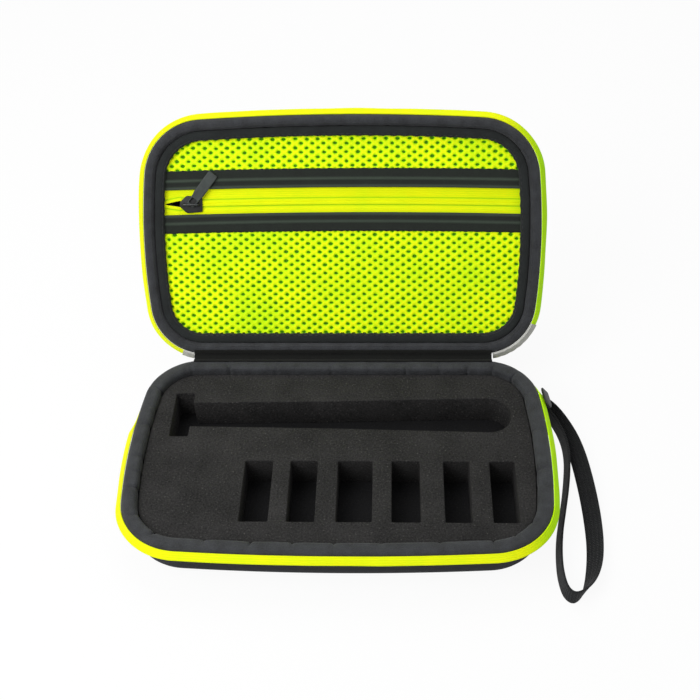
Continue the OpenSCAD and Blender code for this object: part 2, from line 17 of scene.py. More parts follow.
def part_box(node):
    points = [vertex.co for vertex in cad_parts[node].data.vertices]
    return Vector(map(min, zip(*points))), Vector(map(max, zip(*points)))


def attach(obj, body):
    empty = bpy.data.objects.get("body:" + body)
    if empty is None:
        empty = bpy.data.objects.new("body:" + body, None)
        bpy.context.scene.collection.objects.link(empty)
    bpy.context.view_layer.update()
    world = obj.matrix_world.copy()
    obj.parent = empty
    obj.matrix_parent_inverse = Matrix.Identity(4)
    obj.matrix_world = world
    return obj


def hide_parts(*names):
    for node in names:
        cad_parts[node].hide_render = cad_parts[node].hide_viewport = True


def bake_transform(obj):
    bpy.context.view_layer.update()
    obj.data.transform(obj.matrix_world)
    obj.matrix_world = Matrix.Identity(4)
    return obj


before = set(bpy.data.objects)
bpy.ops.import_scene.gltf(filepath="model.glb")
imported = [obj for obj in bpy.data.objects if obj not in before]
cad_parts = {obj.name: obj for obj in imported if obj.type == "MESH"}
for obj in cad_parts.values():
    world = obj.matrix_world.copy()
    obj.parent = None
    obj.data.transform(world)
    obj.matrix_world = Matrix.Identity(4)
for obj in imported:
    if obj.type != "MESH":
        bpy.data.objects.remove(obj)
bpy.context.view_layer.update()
MM = 0.001
random = np.random.default_rng(7)

# %% [markdown]
# ## Camera
# The camera looks down at the open case from the front. Its lens and its place were worked out from
# the outlines of the two rims, so it is set by a distance, three angles and a small shift sideways
# and upwards, and all of them are plain numbers. The picture is square, and no lens shift is needed.

# %% Camera
LENS = 57.16
SENSOR = 36
DISTANCE = 613.3
ELEVATION = math.radians(44.475)
YAW = math.radians(3.194)
ROLL = math.radians(-2.236)
SIDE_STEP = 5.571
LIFT = 72.867

camera_data = bpy.data.cameras.new("camera")
camera_data.lens = LENS
camera_data.sensor_width = SENSOR
camera_data.clip_start = 0.01
camera = bpy.data.objects.new("camera", camera_data)
bpy.context.collection.objects.link(camera)
back = Vector((math.sin(YAW) * math.cos(ELEVATION), -math.cos(YAW) * math.cos(ELEVATION),
               math.sin(ELEVATION)))
level = Vector((math.cos(YAW), math.sin(YAW), 0))
above = back.cross(level)
right = level * math.cos(ROLL) + above * math.sin(ROLL)
up = above * math.cos(ROLL) - level * math.sin(ROLL)
place = (back * DISTANCE + right * SIDE_STEP + up * LIFT) * MM
camera.matrix_world = Matrix.Translation(place) @ Matrix((right, up, back)).transposed().to_4x4()
bpy.context.scene.camera = camera
print("camera at", [round(v, 4) for v in place])

# %% [markdown]
# ## Helpers for meshes
# A mesh object is made from points, faces and, for cloth, a UV map in millimetres. Points that meet
# can be welded, and the faces of a closed form are turned outwards, so that no piece has to care
# which way its outline was drawn. Edges sharper than a given angle stay sharp, and the rest is
# shaded smooth.

# %% Mesh helpers
def put_in_scene(name, mesh):
    piece = bpy.data.objects.new(name, mesh)
    bpy.context.collection.objects.link(piece)
    return piece


def clean(mesh, sharp_above=40, weld=0.0):
    """Welds points that meet, turns a closed form's faces outwards and shades it smooth."""
    work = bmesh.new()
    work.from_mesh(mesh)
    if weld:
        bmesh.ops.remove_doubles(work, verts=work.verts, dist=weld * MM)
    if work.calc_volume(signed=True) < 0:
        bmesh.ops.reverse_faces(work, faces=work.faces)
    work.to_mesh(mesh)
    work.free()
    mesh.shade_smooth()
    mesh.set_sharp_from_angle(angle=math.radians(sharp_above))


def finish_mesh(name, points, faces, uvs=None, sharp_above=40, weld=0.0):
    """A mesh object from points in millimetres, faces and one UV pair for each face corner."""
    mesh = bpy.data.meshes.new(name)
    mesh.from_pydata((np.asarray(points, float) * MM).tolist(), [], faces)
    if uvs is not None:
        layer = mesh.uv_layers.new(name="cloth")
        layer.data.foreach_set("uv", np.asarray(uvs, np.float32).ravel())
    mesh.update()
    clean(mesh, sharp_above, weld)
    return put_in_scene(name, mesh)


# %% [markdown]
# ## Sections carried along a line
# Almost every piece of a sewn case is a section carried along a line: binding, tape, cloth and
# webbing. One helper takes a grid of points, as many rows as the section has points and as many
# columns as the line has stations, and joins them with faces. The map runs along the line and across
# the section, so that a weave follows the strip.

# %% Swept sections
def lengths(points):
    steps = np.linalg.norm(np.diff(points, axis=0), axis=1)
    return np.concatenate([[0], np.cumsum(steps)])


def swept(name, grid, ring=True, loop=False, sharp_above=40):
    """Joins grid[section point, station] with faces; ring closes the section, and loop the run."""
    rows, stations = grid.shape[:2]
    run = lengths(grid[0])
    across = lengths(grid[:, 0])
    run = np.append(run, run[-1] + np.linalg.norm(grid[0, 0] - grid[0, -1]))
    across = np.append(across, across[-1] + np.linalg.norm(grid[0, 0] - grid[-1, 0]))
    k, i = np.meshgrid(np.arange(rows if ring else rows - 1),
                       np.arange(stations if loop else stations - 1), indexing="ij")
    l, j = (k + 1) % rows, (i + 1) % stations
    faces = np.stack([k * stations + i, l * stations + i, l * stations + j, k * stations + j], -1)
    uvs = np.stack([np.stack([run[i], across[k]], -1), np.stack([run[i], across[k + 1]], -1),
                    np.stack([run[i + 1], across[k + 1]], -1),
                    np.stack([run[i + 1], across[k]], -1)], -2)
    faces, uvs = faces.reshape(-1, 4).tolist(), uvs.reshape(-1, 2).tolist()
    if ring and not loop:
        for station, order in ((0, 1), (stations - 1, -1)):
            cap = [row * stations + station for row in range(rows)][::-order]
            faces.append(cap)
            uvs += [(run[station], across[c // stations]) for c in cap]
    return finish_mesh(name, grid.reshape(-1, 3), faces, uvs, sharp_above)


def unit(vectors):
    return vectors / np.maximum(np.linalg.norm(vectors, axis=-1, keepdims=True), 1e-9)


def run_direction(points):
    return unit(np.gradient(points, axis=0))


def tube_grid(points, radius, sides, side_hint):
    """Rings round a line; side_hint is any direction that isn't along it, for each point."""
    along = run_direction(points)
    first = unit(side_hint - along * np.sum(side_hint * along, axis=1, keepdims=True))
    second = np.cross(along, first)
    angles = 2 * math.pi * np.arange(sides) / sides
    return np.stack([points + radius * (math.cos(a) * first + math.sin(a) * second)
                     for a in angles])


def joined(name, pieces):
    """One object from several, each of which keeps its UV map."""
    for other in bpy.context.selected_objects:
        other.select_set(False)
    for piece in pieces:
        piece.select_set(True)
    bpy.context.view_layer.objects.active = pieces[0]
    bpy.ops.object.join()
    pieces[0].name = name
    pieces[0].data.name = name
    return pieces[0]


# %% [markdown]
# ## Which piece belongs to what
# Each new piece stands for one or more CAD pieces, rides on a body of the model and takes its
# finish from a material slot of the record. One short call says all three, and the pieces are kept
# by slot, so that the finishes can be made last, once every shape is there.

# %% Belonging
by_slot = {}


def belongs(piece, body, slot, *nodes):
    if nodes:
        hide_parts(*nodes)
    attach(piece, body)
    by_slot.setdefault(slot, []).append(piece)


# %% [markdown]
# ## Wrist strap
# The strap is a loop of flat webbing whose two ends are sewn to a tab on the wall. It comes first,
# because its length is fixed and it has to lie where the CAD model keeps room for it. Its route is
# a short list of places that were chosen and tried over the photograph, each with the angle
# at which the webbing leans from upright, and a smooth curve is drawn through them.

# %% Wrist strap
STRAP_W = 10
STRAP_T = 1
STRAP_ROUTE = [
    (106, 51.5, 9.5, 0), (112, 52.6, 9.4, 0), (117, 50.2, 8.8, -8), (121.6, 44.6, 7.4, -22),
    (126, 36, 5.8, -36), (129.6, 26, 4.5, -47), (132, 13.6, 3.8, -54), (133.4, 0, 3.5, -57),
    (134.2, -14, 3.4, -58), (134.4, -28, 3.4, -58), (133.8, -42, 3.6, -54), (132, -54.6, 3.9, -48),
    (128.8, -65.4, 4.6, -33), (124.6, -72.8, 5.3, -14), (119.4, -76.4, 5.6, 0), (115.6, -73, 5.5, 6),
    (114, -64, 5.4, 9), (114.2, -52.6, 5.3, 11), (115.8, -39.6, 5.2, 13), (118.6, -26, 5.2, 14),
    (121.6, -12, 5.2, 14), (124, 2, 5.3, 13), (125.2, 14.4, 5.6, 10), (124.4, 25.6, 6.3, 6),
    (121.2, 36, 7.4, 2), (116.4, 44, 8.7, 0), (111.6, 48, 9.4, 0), (107.2, 49.7, 9.5, 0)]


def through(points, steps):
    """A smooth curve through points, in so many steps for each gap between two of them."""
    p = np.vstack([2 * points[0] - points[1], points, 2 * points[-1] - points[-2]])
    out = []
    for i in range(1, len(p) - 2):
        t = np.arange(steps)[:, None] / steps
        out.append(0.5 * (2 * p[i] + (p[i + 1] - p[i - 1]) * t
                          + (2 * p[i - 1] - 5 * p[i] + 4 * p[i + 1] - p[i + 2]) * t ** 2
                          + (3 * p[i] - p[i - 1] - 3 * p[i + 1] + p[i + 2]) * t ** 3))
    return np.vstack(out + [points[-1:]])


def strap_grid(route, width, thickness):
    place, lean = route[:, :3], np.radians(route[:, 3:])
    along = run_direction(place)
    side = unit(np.cross(along, [0, 0, 1]))
    across = np.cross(side, along) * np.cos(lean) + side * np.sin(lean)
    normal = np.cross(along, across)
    a, b = width / 2, thickness / 2
    section = [(a - b, b), (a * 0.5, b), (0, b), (-a * 0.5, b), (-a + b, b), (-a + b * 0.3, b * 0.75),
               (-a, 0), (-a + b * 0.3, -b * 0.75), (-a + b, -b), (-a * 0.5, -b), (0, -b),
               (a * 0.5, -b), (a - b, -b), (a - b * 0.3, -b * 0.75), (a, 0), (a - b * 0.3, b * 0.75)]
    return np.stack([place + across * x + normal * y for x, y in section])


strap_route = through(np.array(STRAP_ROUTE, float), steps=7)
strap_length = lengths(strap_route[:, :3])[-1]
strap = swept("wrist_strap_webbing", strap_grid(strap_route, STRAP_W, STRAP_T))
belongs(strap, "base", "webbing", "wrist_strap")
print("strap", round(strap_length), "mm of webbing")

# %% [markdown]
# ## The rim's outline
# Both halves share one outline: a slow bow at the front, one at each side, four rounded corners and
# a straight hinge side. The arcs are tangent to each other, so the corner centres follow from the
# radii, and the case's width, depth and height come from the box of the base's binding.

# %% Rim outline
FRONT_R = 1330
SIDE_R = 354
FRONT_CORNER_R = 34
HINGE_CORNER_R = 30
BINDING_PUFF = 1.2


def node_box(name):
    return [np.array(corner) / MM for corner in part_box(name)]


rim_high = node_box("base_rim_binding")[1]
HALF_W, HALF_D = rim_high[:2]
BASE_H = rim_high[2] - BINDING_PUFF
side_c = np.array([HALF_W - SIDE_R, 0])
front_c = np.array([0, FRONT_R - HALF_D])
hinge_corner = np.array([side_c[0] + math.sqrt((SIDE_R - HINGE_CORNER_R) ** 2
                                               - (HALF_D - HINGE_CORNER_R) ** 2),
                         HALF_D - HINGE_CORNER_R])
centre_gap = np.linalg.norm(side_c - front_c)
to_front = ((SIDE_R - FRONT_CORNER_R) ** 2 - (FRONT_R - FRONT_CORNER_R) ** 2
            + centre_gap ** 2) / (2 * centre_gap)
off_line = math.sqrt((SIDE_R - FRONT_CORNER_R) ** 2 - to_front ** 2)
line = (front_c - side_c) / centre_gap
front_corner = side_c + line * to_front + np.array([line[1], -line[0]]) * off_line
side_front = math.atan2(front_corner[1], front_corner[0] - side_c[0])
side_hinge = math.atan2(hinge_corner[1], hinge_corner[0] - side_c[0])
front_side = math.atan2(front_corner[1] - front_c[1], front_corner[0])
print("rim", round(2 * HALF_W), "x", round(2 * HALF_D), "mm, base", round(BASE_H, 1), "mm high")

# %% [markdown]
# ## Stations round the rim
# Stations along the outline carry everything that goes round the case. Each has a point, a direction
# outwards and its distance along the run, and a section is then only a list of distances in from
# the outline, with heights. Cloth is never quite even, so a sum of a few slow waves with random
# phases moves whatever follows the rim.

# %% Round the rim
def arc(centre, radius, start, end, step):
    count = max(2, round(abs(end - start) * radius / step))
    turn = np.linspace(start, end, count, endpoint=False)
    outward = np.stack([np.cos(turn), np.sin(turn)], axis=1)
    return centre + radius * outward, outward


def rim(step, corner_end=None):
    """Points, outward directions and run: all round, or open between two angles at the hinge."""
    turn = corner_end or math.pi / 2
    parts = [arc(front_c, FRONT_R, -math.pi / 2, front_side, step),
             arc(front_corner, FRONT_CORNER_R, front_side, side_front, step),
             arc(side_c, SIDE_R, side_front, side_hinge, step),
             arc(hinge_corner, HINGE_CORNER_R, side_hinge, turn, step)]
    if corner_end:
        last = np.array([[math.cos(turn), math.sin(turn)]])
        parts.append((hinge_corner + HINGE_CORNER_R * last, last))
    else:
        x = np.linspace(hinge_corner[0], 0, max(2, round(hinge_corner[0] / step)))
        parts.append((np.stack([x, np.full_like(x, HALF_D)], 1), np.tile([0.0, 1.0], (len(x), 1))))
    points, outward = (np.vstack(part) for part in zip(*parts))
    if corner_end:
        both = [np.vstack([(a[1:] * (-1, 1))[::-1], a]) for a in (points, outward)]
    else:
        both = [np.vstack([a, (a[1:-1] * (-1, 1))[::-1]]) for a in (points, outward)]
    return both[0], both[1], lengths(both[0])


def carried(stations, insets, heights):
    """A grid from the distances in from the outline and the heights, by section point and station."""
    points, outward, run = stations
    insets, heights = np.broadcast_arrays(np.asarray(insets, float), np.asarray(heights, float))
    if insets.shape[1] == 1:
        insets, heights = (np.repeat(a, len(run), axis=1) for a in (insets, heights))
    flat = points[None] - outward[None] * insets[..., None]
    return np.concatenate([flat, heights[..., None]], axis=2)


def column(values):
    return np.asarray(values, float)[:, None]


def ripple(run, waves):
    """Slow random waves along a run, from (wavelength, height) pairs; they close up on a loop."""
    total = run[-1] + run[1] - run[0]
    value = np.zeros_like(run)
    for wavelength, height in waves:
        for share in (0.8, 1, 1.3):
            turns = max(1, round(total * share / wavelength))
            phase = random.uniform(0, 2 * math.pi)
            value += height / 3 * np.sin(2 * math.pi * turns * run / total + phase)
    return value


RUN_STEP = 1.0
ALL_ROUND = rim(RUN_STEP)
TAPE_END = math.radians(74)
OPEN_RUN = rim(RUN_STEP, TAPE_END)
print(round(ALL_ROUND[2][-1]), "mm round,", len(ALL_ROUND[2]), "stations")

# %% [markdown]
# ## The lid's place
# The lid is the same sort of shell as the base, turned over and leaned back on the hinge. Its pieces
# are drawn in its own directions: u runs across, v away from the hinge line, and h out of the lid
# towards the one who opens it, from the rim's edge. Two functions bring points from there, or from a
# half that is drawn lying on its back, into the frame. The lean is how the case stands at rest, and
# the joint takes it from there.

# %% Lid place
LID_H = 24
RIM_GAP = 8
AXIS_Z = BASE_H + RIM_GAP / 2
LEAN = math.radians(57)
print("hinge line at", round(HALF_D), "mm back,", round(AXIS_Z, 1), "mm up")


def in_lid(points):
    u, v, h = np.moveaxis(np.asarray(points, float), -1, 0)
    h = h - RIM_GAP / 2
    return np.stack([u, HALF_D + v * math.cos(LEAN) - h * math.sin(LEAN),
                     AXIS_Z + v * math.sin(LEAN) + h * math.cos(LEAN)], axis=-1)


def as_lid(points):
    x, y, z = np.moveaxis(points, -1, 0)
    return in_lid(np.stack([-x, HALF_D - y, z - LID_H], axis=-1))


# %% [markdown]
# ## Shells
# Each half is moulded from foam board with a cloth skin: a flat face, a generous radius and a wall
# that leans out to the rim. Rings at falling heights make the outside and rings at rising heights
# the inside, and both close with a flat face. The CAD model has the same cup with fewer facets, so
# this one only rounds it off and carries the weave along its walls.

# %% Shells
WALL_INSET = 2.2
SHELL_T = 2.4
LINING_T = 0.6
GLUE_GAP = 0.1
SHELL_DRAFT = 2
SHELL_EDGE_R = 9
RIM_DROP = 3.5
FILLET_C = WALL_INSET + SHELL_DRAFT + SHELL_EDGE_R
SHELL_STEP = 2.5


def wall_line(depth, height):
    turn = np.linspace(math.pi, 1.5 * math.pi, 9)
    r = SHELL_EDGE_R - depth
    wall = np.linspace(0, 1, 5)[:-1]
    top = np.array([WALL_INSET + depth, height - RIM_DROP])
    curve = np.stack([FILLET_C + r * np.cos(turn), SHELL_EDGE_R + r * np.sin(turn)], 1)
    straight = top + (curve[0] - top) * wall[:, None]
    flat = curve[-1] + np.array([[3, 0], [20, 0]])
    return np.vstack([straight, curve, flat])


def cup(name, height, place):
    outside, inside = wall_line(0, height), wall_line(SHELL_T, height)[::-1]
    section = np.vstack([outside, inside])
    stations = rim(SHELL_STEP)
    grid = place(carried(stations, column(section[:, 0]), column(section[:, 1])))
    rows, count = grid.shape[:2]
    run, across = stations[2], lengths(section)
    faces, uvs = [], []
    floor_row = len(outside) - 1
    for k in range(rows):
        l = (k + 1) % rows
        if k == floor_row:
            continue
        for i in range(count):
            j = (i + 1) % count
            end = run[j] if j else run[-1] + SHELL_STEP
            faces.append((k * count + i, l * count + i, l * count + j, k * count + j))
            low, high = across[k], (across[l] if l else across[-1] + SHELL_T)
            uvs += [(run[i], low), (run[i], high), (end, high), (end, low)]
    for row, order in ((floor_row, -1), (floor_row + 1, 1)):
        ring = list(range(row * count, (row + 1) * count))[::order]
        faces.append(ring)
        flat = carried(stations, [[section[row, 0]]], [[0]])[0][::order]
        uvs += [(x, y) for x, y, _ in flat]
    return finish_mesh(name, grid.reshape(-1, 3), faces, uvs, sharp_above=35)


def as_base(points):
    return points


for half, height, place in (("base", BASE_H, as_base), ("lid", LID_H, as_lid)):
    shell = cup(f"{half}_shell_moulded", height, place)
    belongs(shell, half, "shell_cloth", f"{half}_shell")
    print(half, "shell", len(shell.data.vertices), "points")

# %% [markdown]
# ## Rim bindings
# A padded strip of stretch cloth is folded over each rim and sewn down. On the real case it is
# gathered as it goes in, so that its inner edge pulls into short swells between sharp puckers. A
# plain swept profile would look like a rubber seal, and cloth simulation along 700 mm of roll would
# be slow and hard to keep in place. So the section is drawn plain here, and a formula moves the
# swells and the puckers into it in the next cell.

# %% Section of a binding
BINDING_R = 2.6
LIP_DROP = 3
LEG_DROP = 6


def binding_section(height, width):
    """From the outer lip over the crown and down the inner leg, then back underneath."""
    lean = SHELL_DRAFT / (height - RIM_DROP - SHELL_EDGE_R)
    slot = WALL_INSET + SHELL_T + LINING_T + 2 * GLUE_GAP + (LEG_DROP - RIM_DROP) * lean
    turn = np.linspace(0, math.pi / 2, 8)
    top = height + BINDING_PUFF - BINDING_R
    outer = [(BINDING_R - BINDING_R * math.cos(a), top + BINDING_R * math.sin(a)) for a in turn]
    inner = [(width - BINDING_R + BINDING_R * math.sin(a), top + BINDING_R * math.cos(a))
             for a in turn]
    middle = [(width / 2, height + BINDING_PUFF + 0.12)]
    leg = [(width, height - 3), (width - 0.15, height - 4.5), (width - 0.5, height - LEG_DROP + 0.2),
           (width - 0.9, height - LEG_DROP)]
    under = [(slot, height - LEG_DROP), (slot, height - RIM_DROP + GLUE_GAP),
             (WALL_INSET - GLUE_GAP, height - RIM_DROP + GLUE_GAP),
             (WALL_INSET - GLUE_GAP, height - LIP_DROP)]
    lip = [(0.45, height - LIP_DROP), (0.1, height - LIP_DROP + 0.3)]
    return np.array(lip + outer + middle + inner + leg + under), len(lip + outer + middle + inner)


# %% [markdown]
# ## Swells and puckers
# Each pucker has its own place along the rim, its own depth and its own slant, and the swell between
# two of them is the arch of a sine. Both push the section's points in or out, across its surface.
# The base's binding is gathered more than the lid's, so the two get different gaps and depths.

# %% Bindings
PUCKER_W = 0.75


def puckers(run, gaps, depths):
    """For each station: how deep the nearest pucker is, how far off it is, and the swell there."""
    total = run[-1] + run[1] - run[0]
    places = [0.0]
    while places[-1] < total - gaps[0]:
        places.append(places[-1] + random.uniform(*gaps))
    places = np.array(places) * total / places[-1]
    depth = random.uniform(*depths, len(places))
    slant = random.uniform(-1.8, 1.8, len(places))
    depth[-1], slant[-1] = depth[0], slant[0]
    nearest = np.abs(run[:, None] - places[None]).argmin(1)
    after = np.clip(np.searchsorted(places, run, side="right"), 1, len(places) - 1)
    share = (run - places[after - 1]) / (places[after] - places[after - 1])
    swell = np.sqrt(np.abs(np.sin(np.pi * np.clip(share, 0, 1))))
    return places[nearest], depth[nearest], slant[nearest], swell


def binding(name, height, width, place, gaps, depths, swell_height):
    section, visible = binding_section(height, width)
    run = ALL_ROUND[2]
    along = np.roll(section, -1, axis=0) - np.roll(section, 1, axis=0)
    normal = unit(np.stack([-along[:, 1], along[:, 0]], 1))
    weight = np.clip((section[:, 0] - width * 0.35) / (width * 0.45), 0, 1)
    weight[visible + 2:] = 0
    crown = np.clip(1 - np.abs(section[:, 0] / width - 0.5) * 2, 0, 1) ** 0.5
    crown[visible:] = 0
    where, depth, slant, swell = puckers(run, gaps, depths)
    off = run[None] - where[None] - slant[None] * (1 - weight[:, None]) * 2
    pinch = depth[None] * np.exp(-(np.abs(off) / PUCKER_W) ** 1.3)
    push = weight[:, None] * (swell[None] * swell_height - pinch) - crown[:, None] * pinch * 0.25
    push += crown[:, None] * ripple(run, [(34, 0.16), (11, 0.07)])[None]
    insets = section[:, :1] + normal[:, :1] * push
    heights = section[:, 1:] + normal[:, 1:] * push
    roll = swept(name, place(carried(ALL_ROUND, insets, heights)), loop=True, sharp_above=60)
    return roll


BASE_BINDING_W = 8
LID_BINDING_W = 6.2
base_binding = binding("base_binding_roll", BASE_H, BASE_BINDING_W, as_base, gaps=(10, 32),
                       depths=(0.3, 1.3), swell_height=0.3)
belongs(base_binding, "base", "binding_cloth", "base_rim_binding")
lid_binding = binding("lid_binding_roll", LID_H, LID_BINDING_W, as_lid, gaps=(22, 50),
                      depths=(0.05, 0.25), swell_height=0.12)
belongs(lid_binding, "lid", "binding_cloth", "lid_rim_binding")
print("bindings", BASE_BINDING_W, "and", LID_BINDING_W, "mm wide")

# %% [markdown]
# ## Main zip
# Each rim carries one half of the zip: a woven tape that is caught under the binding and droops
# outwards, with a spiral coil sewn along its free edge. The tape is a thin closed strip whose droop
# wanders a few degrees, as a tape does that nothing pulls on. The coil is a real helix, because its
# turns show as a row of dots wherever the tape turns its edge to the eye. Round the hinge corners
# the base's tape goes down and in under the binding's lip, where its ends are out of sight.

# %% Main zip
TAPE_W = 4.75
TAPE_T = 0.7
DROOP = math.radians(53)
TAPE_SEAM = (-0.45, 0.1)
COIL_ALONG, COIL_THROUGH = 4.1, 1.5
COIL_REACH = (0.66, 0.46)
COIL_WIRE = 0.24
COIL_PITCH = 1.5
TURN_STEPS, COIL_SIDES = 8, 5
TUCK_TURN, TUCK_IN = 45, 1.5
TUCK_LEFT, TUCK_RIGHT = 62, 34


def coil_turns(length, pitch):
    """Angles along a coil of a length, in TURN_STEPS steps for each turn."""
    return 2 * math.pi * np.arange(int(length / pitch) * TURN_STEPS) / TURN_STEPS


def tape_place(height, along, through, droop):
    """Distance in and height of a point on the tape, from its seam along it and through it."""
    return (TAPE_SEAM[0] - np.cos(droop) * along + np.sin(droop) * through,
            height + TAPE_SEAM[1] - np.sin(droop) * along - np.cos(droop) * through)


def tuck(run, left, right):
    """0 along the run, rising to 1 near the ends, from so many millimetres before them."""
    from_end = np.minimum(run / left, (run[-1] - run) / right)
    return np.clip(1.5 - from_end * 1.5, 0, 1)


def zip_half(half, height, place, tucked):
    points, outward, run = OPEN_RUN
    upright = TUCK_TURN * np.clip(tucked / 0.7, 0, 1)
    droop = DROOP + np.radians(ripple(run, [(90, 3), (37, 2)]) + upright)
    fall = (LIP_DROP + 0.4) * np.clip(tucked / 0.6, 0, 1)
    sunk = TUCK_IN * np.clip(tucked * 2 - 1, 0, 1)
    edge = np.array([0, 0.08, 1.2, 2.4, 3.6, TAPE_W - 0.15, TAPE_W, TAPE_W, TAPE_W - 0.15, 3.6, 2.4,
                     1.2, 0.08, 0])
    face = np.array([0.15, 0, 0.05, 0, 0.05, 0.02, 0.15, 0.55, 0.68, 0.7, 0.66, 0.7, 0.7, 0.55])
    insets, heights = tape_place(height, edge[:, None], face[:, None], droop[None])
    grid = place(carried(OPEN_RUN, insets + sunk[None], heights - fall[None]))
    tape = swept(half + "_tape_woven", grid, sharp_above=60)

    phase = coil_turns(run[-1], COIL_PITCH)
    at = np.linspace(0, run[-1], len(phase))
    spots = np.stack([np.interp(at, run, points[:, c]) for c in (0, 1)], 1)
    facing = unit(np.stack([np.interp(at, run, outward[:, c]) for c in (0, 1)], 1))
    insets, heights = tape_place(height, COIL_ALONG + COIL_REACH[0] * np.cos(phase),
                                 COIL_THROUGH + COIL_REACH[1] * np.sin(phase),
                                 np.interp(at, run, droop))
    insets = insets + np.interp(at, run, sunk)
    wire = np.column_stack([spots - facing * insets[:, None], heights - np.interp(at, run, fall)])
    hint = np.column_stack([facing, np.full(len(phase), 0.4)])
    coil = swept(half + "_coil_spiral", place(tube_grid(wire, COIL_WIRE, COIL_SIDES, hint)),
                 sharp_above=80)
    belongs(tape, half, "neon_tape", half + "_zip_tape")
    belongs(coil, half, "zip_coil", half + "_zip_coil")


zip_half("base", BASE_H, as_base, tuck(OPEN_RUN[2], TUCK_LEFT, TUCK_RIGHT))
zip_half("lid", LID_H, as_lid, np.zeros_like(OPEN_RUN[2]))
print("main zip", round(OPEN_RUN[2][-1]), "mm long")

# %% [markdown]
# ## Foam tray
# The tray is cut from a sheet of black foam: one hole in the outline of the shaver, and six slots
# for its combs. Filled curves suit a thing that is cut from a sheet, because they take an outline
# with holes, give it a thickness and round its edges in one step. The same helper makes the plates
# and pulls of the sliders later on.

# %% Cutting a sheet
def rounded(outline, radius, steps=5):
    """The outline with each corner swapped for a short curve."""
    outline = np.asarray(outline, float)
    before, after = np.roll(outline, 1, axis=0), np.roll(outline, -1, axis=0)
    points = []
    for corner, last, following in zip(outline, before, after):
        start, end = (corner + unit(other - corner) * min(radius, np.linalg.norm(other - corner) / 2.05)
                      for other in (last, following))
        for t in np.linspace(0, 1, steps):
            points.append((1 - t) ** 2 * start + 2 * t * (1 - t) * corner + t ** 2 * end)
    return np.array(points)


def cut_sheet(name, outlines, low, high, edge, weld=0.002):
    """A slab with holes between two heights, with its edges rounded over."""
    curve = bpy.data.curves.new(name, "CURVE")
    curve.dimensions = "2D"
    curve.fill_mode = "BOTH"
    curve.extrude = ((high - low) / 2 - edge) * MM
    curve.bevel_depth = edge * MM
    curve.bevel_resolution = 2
    curve.offset = -edge * MM
    for outline in outlines:
        spline = curve.splines.new("POLY")
        spline.points.add(len(outline) - 1)
        count = len(outline)
        flat = np.column_stack([np.asarray(outline) * MM, np.zeros(count), np.ones(count)])
        spline.points.foreach_set("co", flat.ravel())
        spline.use_cyclic_u = True
    maker = bpy.data.objects.new(name, curve)
    bpy.context.collection.objects.link(maker)
    shape = maker.evaluated_get(bpy.context.evaluated_depsgraph_get())
    mesh = bpy.data.meshes.new_from_object(shape)
    bpy.data.objects.remove(maker)
    mesh.transform(Matrix.Translation((0, 0, (low + high) / 2 * MM)))
    mesh.name = name
    clean(mesh, sharp_above=35, weld=weld)
    return put_in_scene(name, mesh)


# %% [markdown]
# ## The tray's cut-outs
# The shaver's hole is a T: a pocket for the head across the case, and a channel for the handle that
# widens to a round end. The slots are counted back from the tray's right edge, each with its own
# width and its own web of foam to the next, as they were cut.

# %% Tray cut-outs
HEAD_X, HEAD_W, HEAD_L = -93.4, 10.4, 32
HANDLE_Y = 28.4
NECK, MIDDLE, END = 17.4 / 2, 20.2 / 2, 25 / 2
HANDLE_MID_X, HANDLE_END_X = -0.8, 81.9
SLOT_WIDTHS = (15, 14.5, 18.5, 15, 14, 13.5)
SLOT_WEBS = (9.4, 10.8, 10, 12.3, 10.4)
SLOT_FROM, SLOT_TO = -44.9, -4.9
SLOT_MARGIN = 10.6
CUT_R = 0.9
TRAY_STEP, TRAY_EDGE_R = 3.0, 0.45
tray_low, tray_high = node_box("foam_tray")


def shaver_hole():
    neck_x = HEAD_X + HEAD_W
    corners = [(HEAD_X, -HEAD_L / 2), (neck_x, -HEAD_L / 2), (neck_x, -NECK)]
    turn = np.linspace(-math.pi / 2, math.pi / 2, 25)
    end = np.stack([HANDLE_END_X + END * np.cos(turn), END * np.sin(turn)], 1)
    lower = np.vstack([corners, [(HANDLE_MID_X, -MIDDLE)]])
    upper = (lower * (1, -1))[::-1]
    soft = rounded(np.vstack([lower, end[:1], end[-1:], upper]), CUT_R)
    keep = soft[:, 0] < HANDLE_END_X - 2
    half = int(keep.sum() / 2)
    return np.vstack([soft[keep][:half], end, soft[keep][half:]]) + (0, HANDLE_Y)


def slot_holes():
    right = tray_high[0] - SLOT_MARGIN
    for width, web in zip(SLOT_WIDTHS[::-1], (0,) + SLOT_WEBS[::-1]):
        right -= web
        yield rounded([(right - width, SLOT_FROM), (right, SLOT_FROM), (right, SLOT_TO),
                       (right - width, SLOT_TO)], CUT_R)
        right -= width


tray_rim = carried(rim(TRAY_STEP), [[HALF_W - tray_high[0]]], [[0]])[0][:, :2]
tray = cut_sheet("foam_tray_cut", [tray_rim, shaver_hole(), *slot_holes()], tray_low[2],
                 tray_high[2], TRAY_EDGE_R)
belongs(tray, "base", "foam", "foam_tray")
print("foam tray", len(tray.data.vertices), "points")

# %% [markdown]
# ## Cloth hinge
# Two strips of cloth join the rims: an outer one that is glued to both walls and dips in between
# the rims, and an inner one that covers it. On the case they bend as the lid moves; here each is one
# strip, drawn as the case stands at rest, that follows the base on one side and the lid on the other.
# A fold is drawn once, as its half on the base, by distances in from the hinge side and heights from
# the hinge line.

# %% Folds of the hinge
OUTER_T, INNER_T = 0.8, 0.6
CLOTH_GAP = 0.25
GLUED_H = 8
lip_edge = -RIM_GAP / 2 - LIP_DROP
crown_top = -RIM_GAP / 2 + BINDING_PUFF
wall_lean = SHELL_DRAFT / (BASE_H - RIM_DROP - SHELL_EDGE_R)
outer_off, inner_off = OUTER_T / 2 + CLOTH_GAP, INNER_T / 2 + CLOTH_GAP


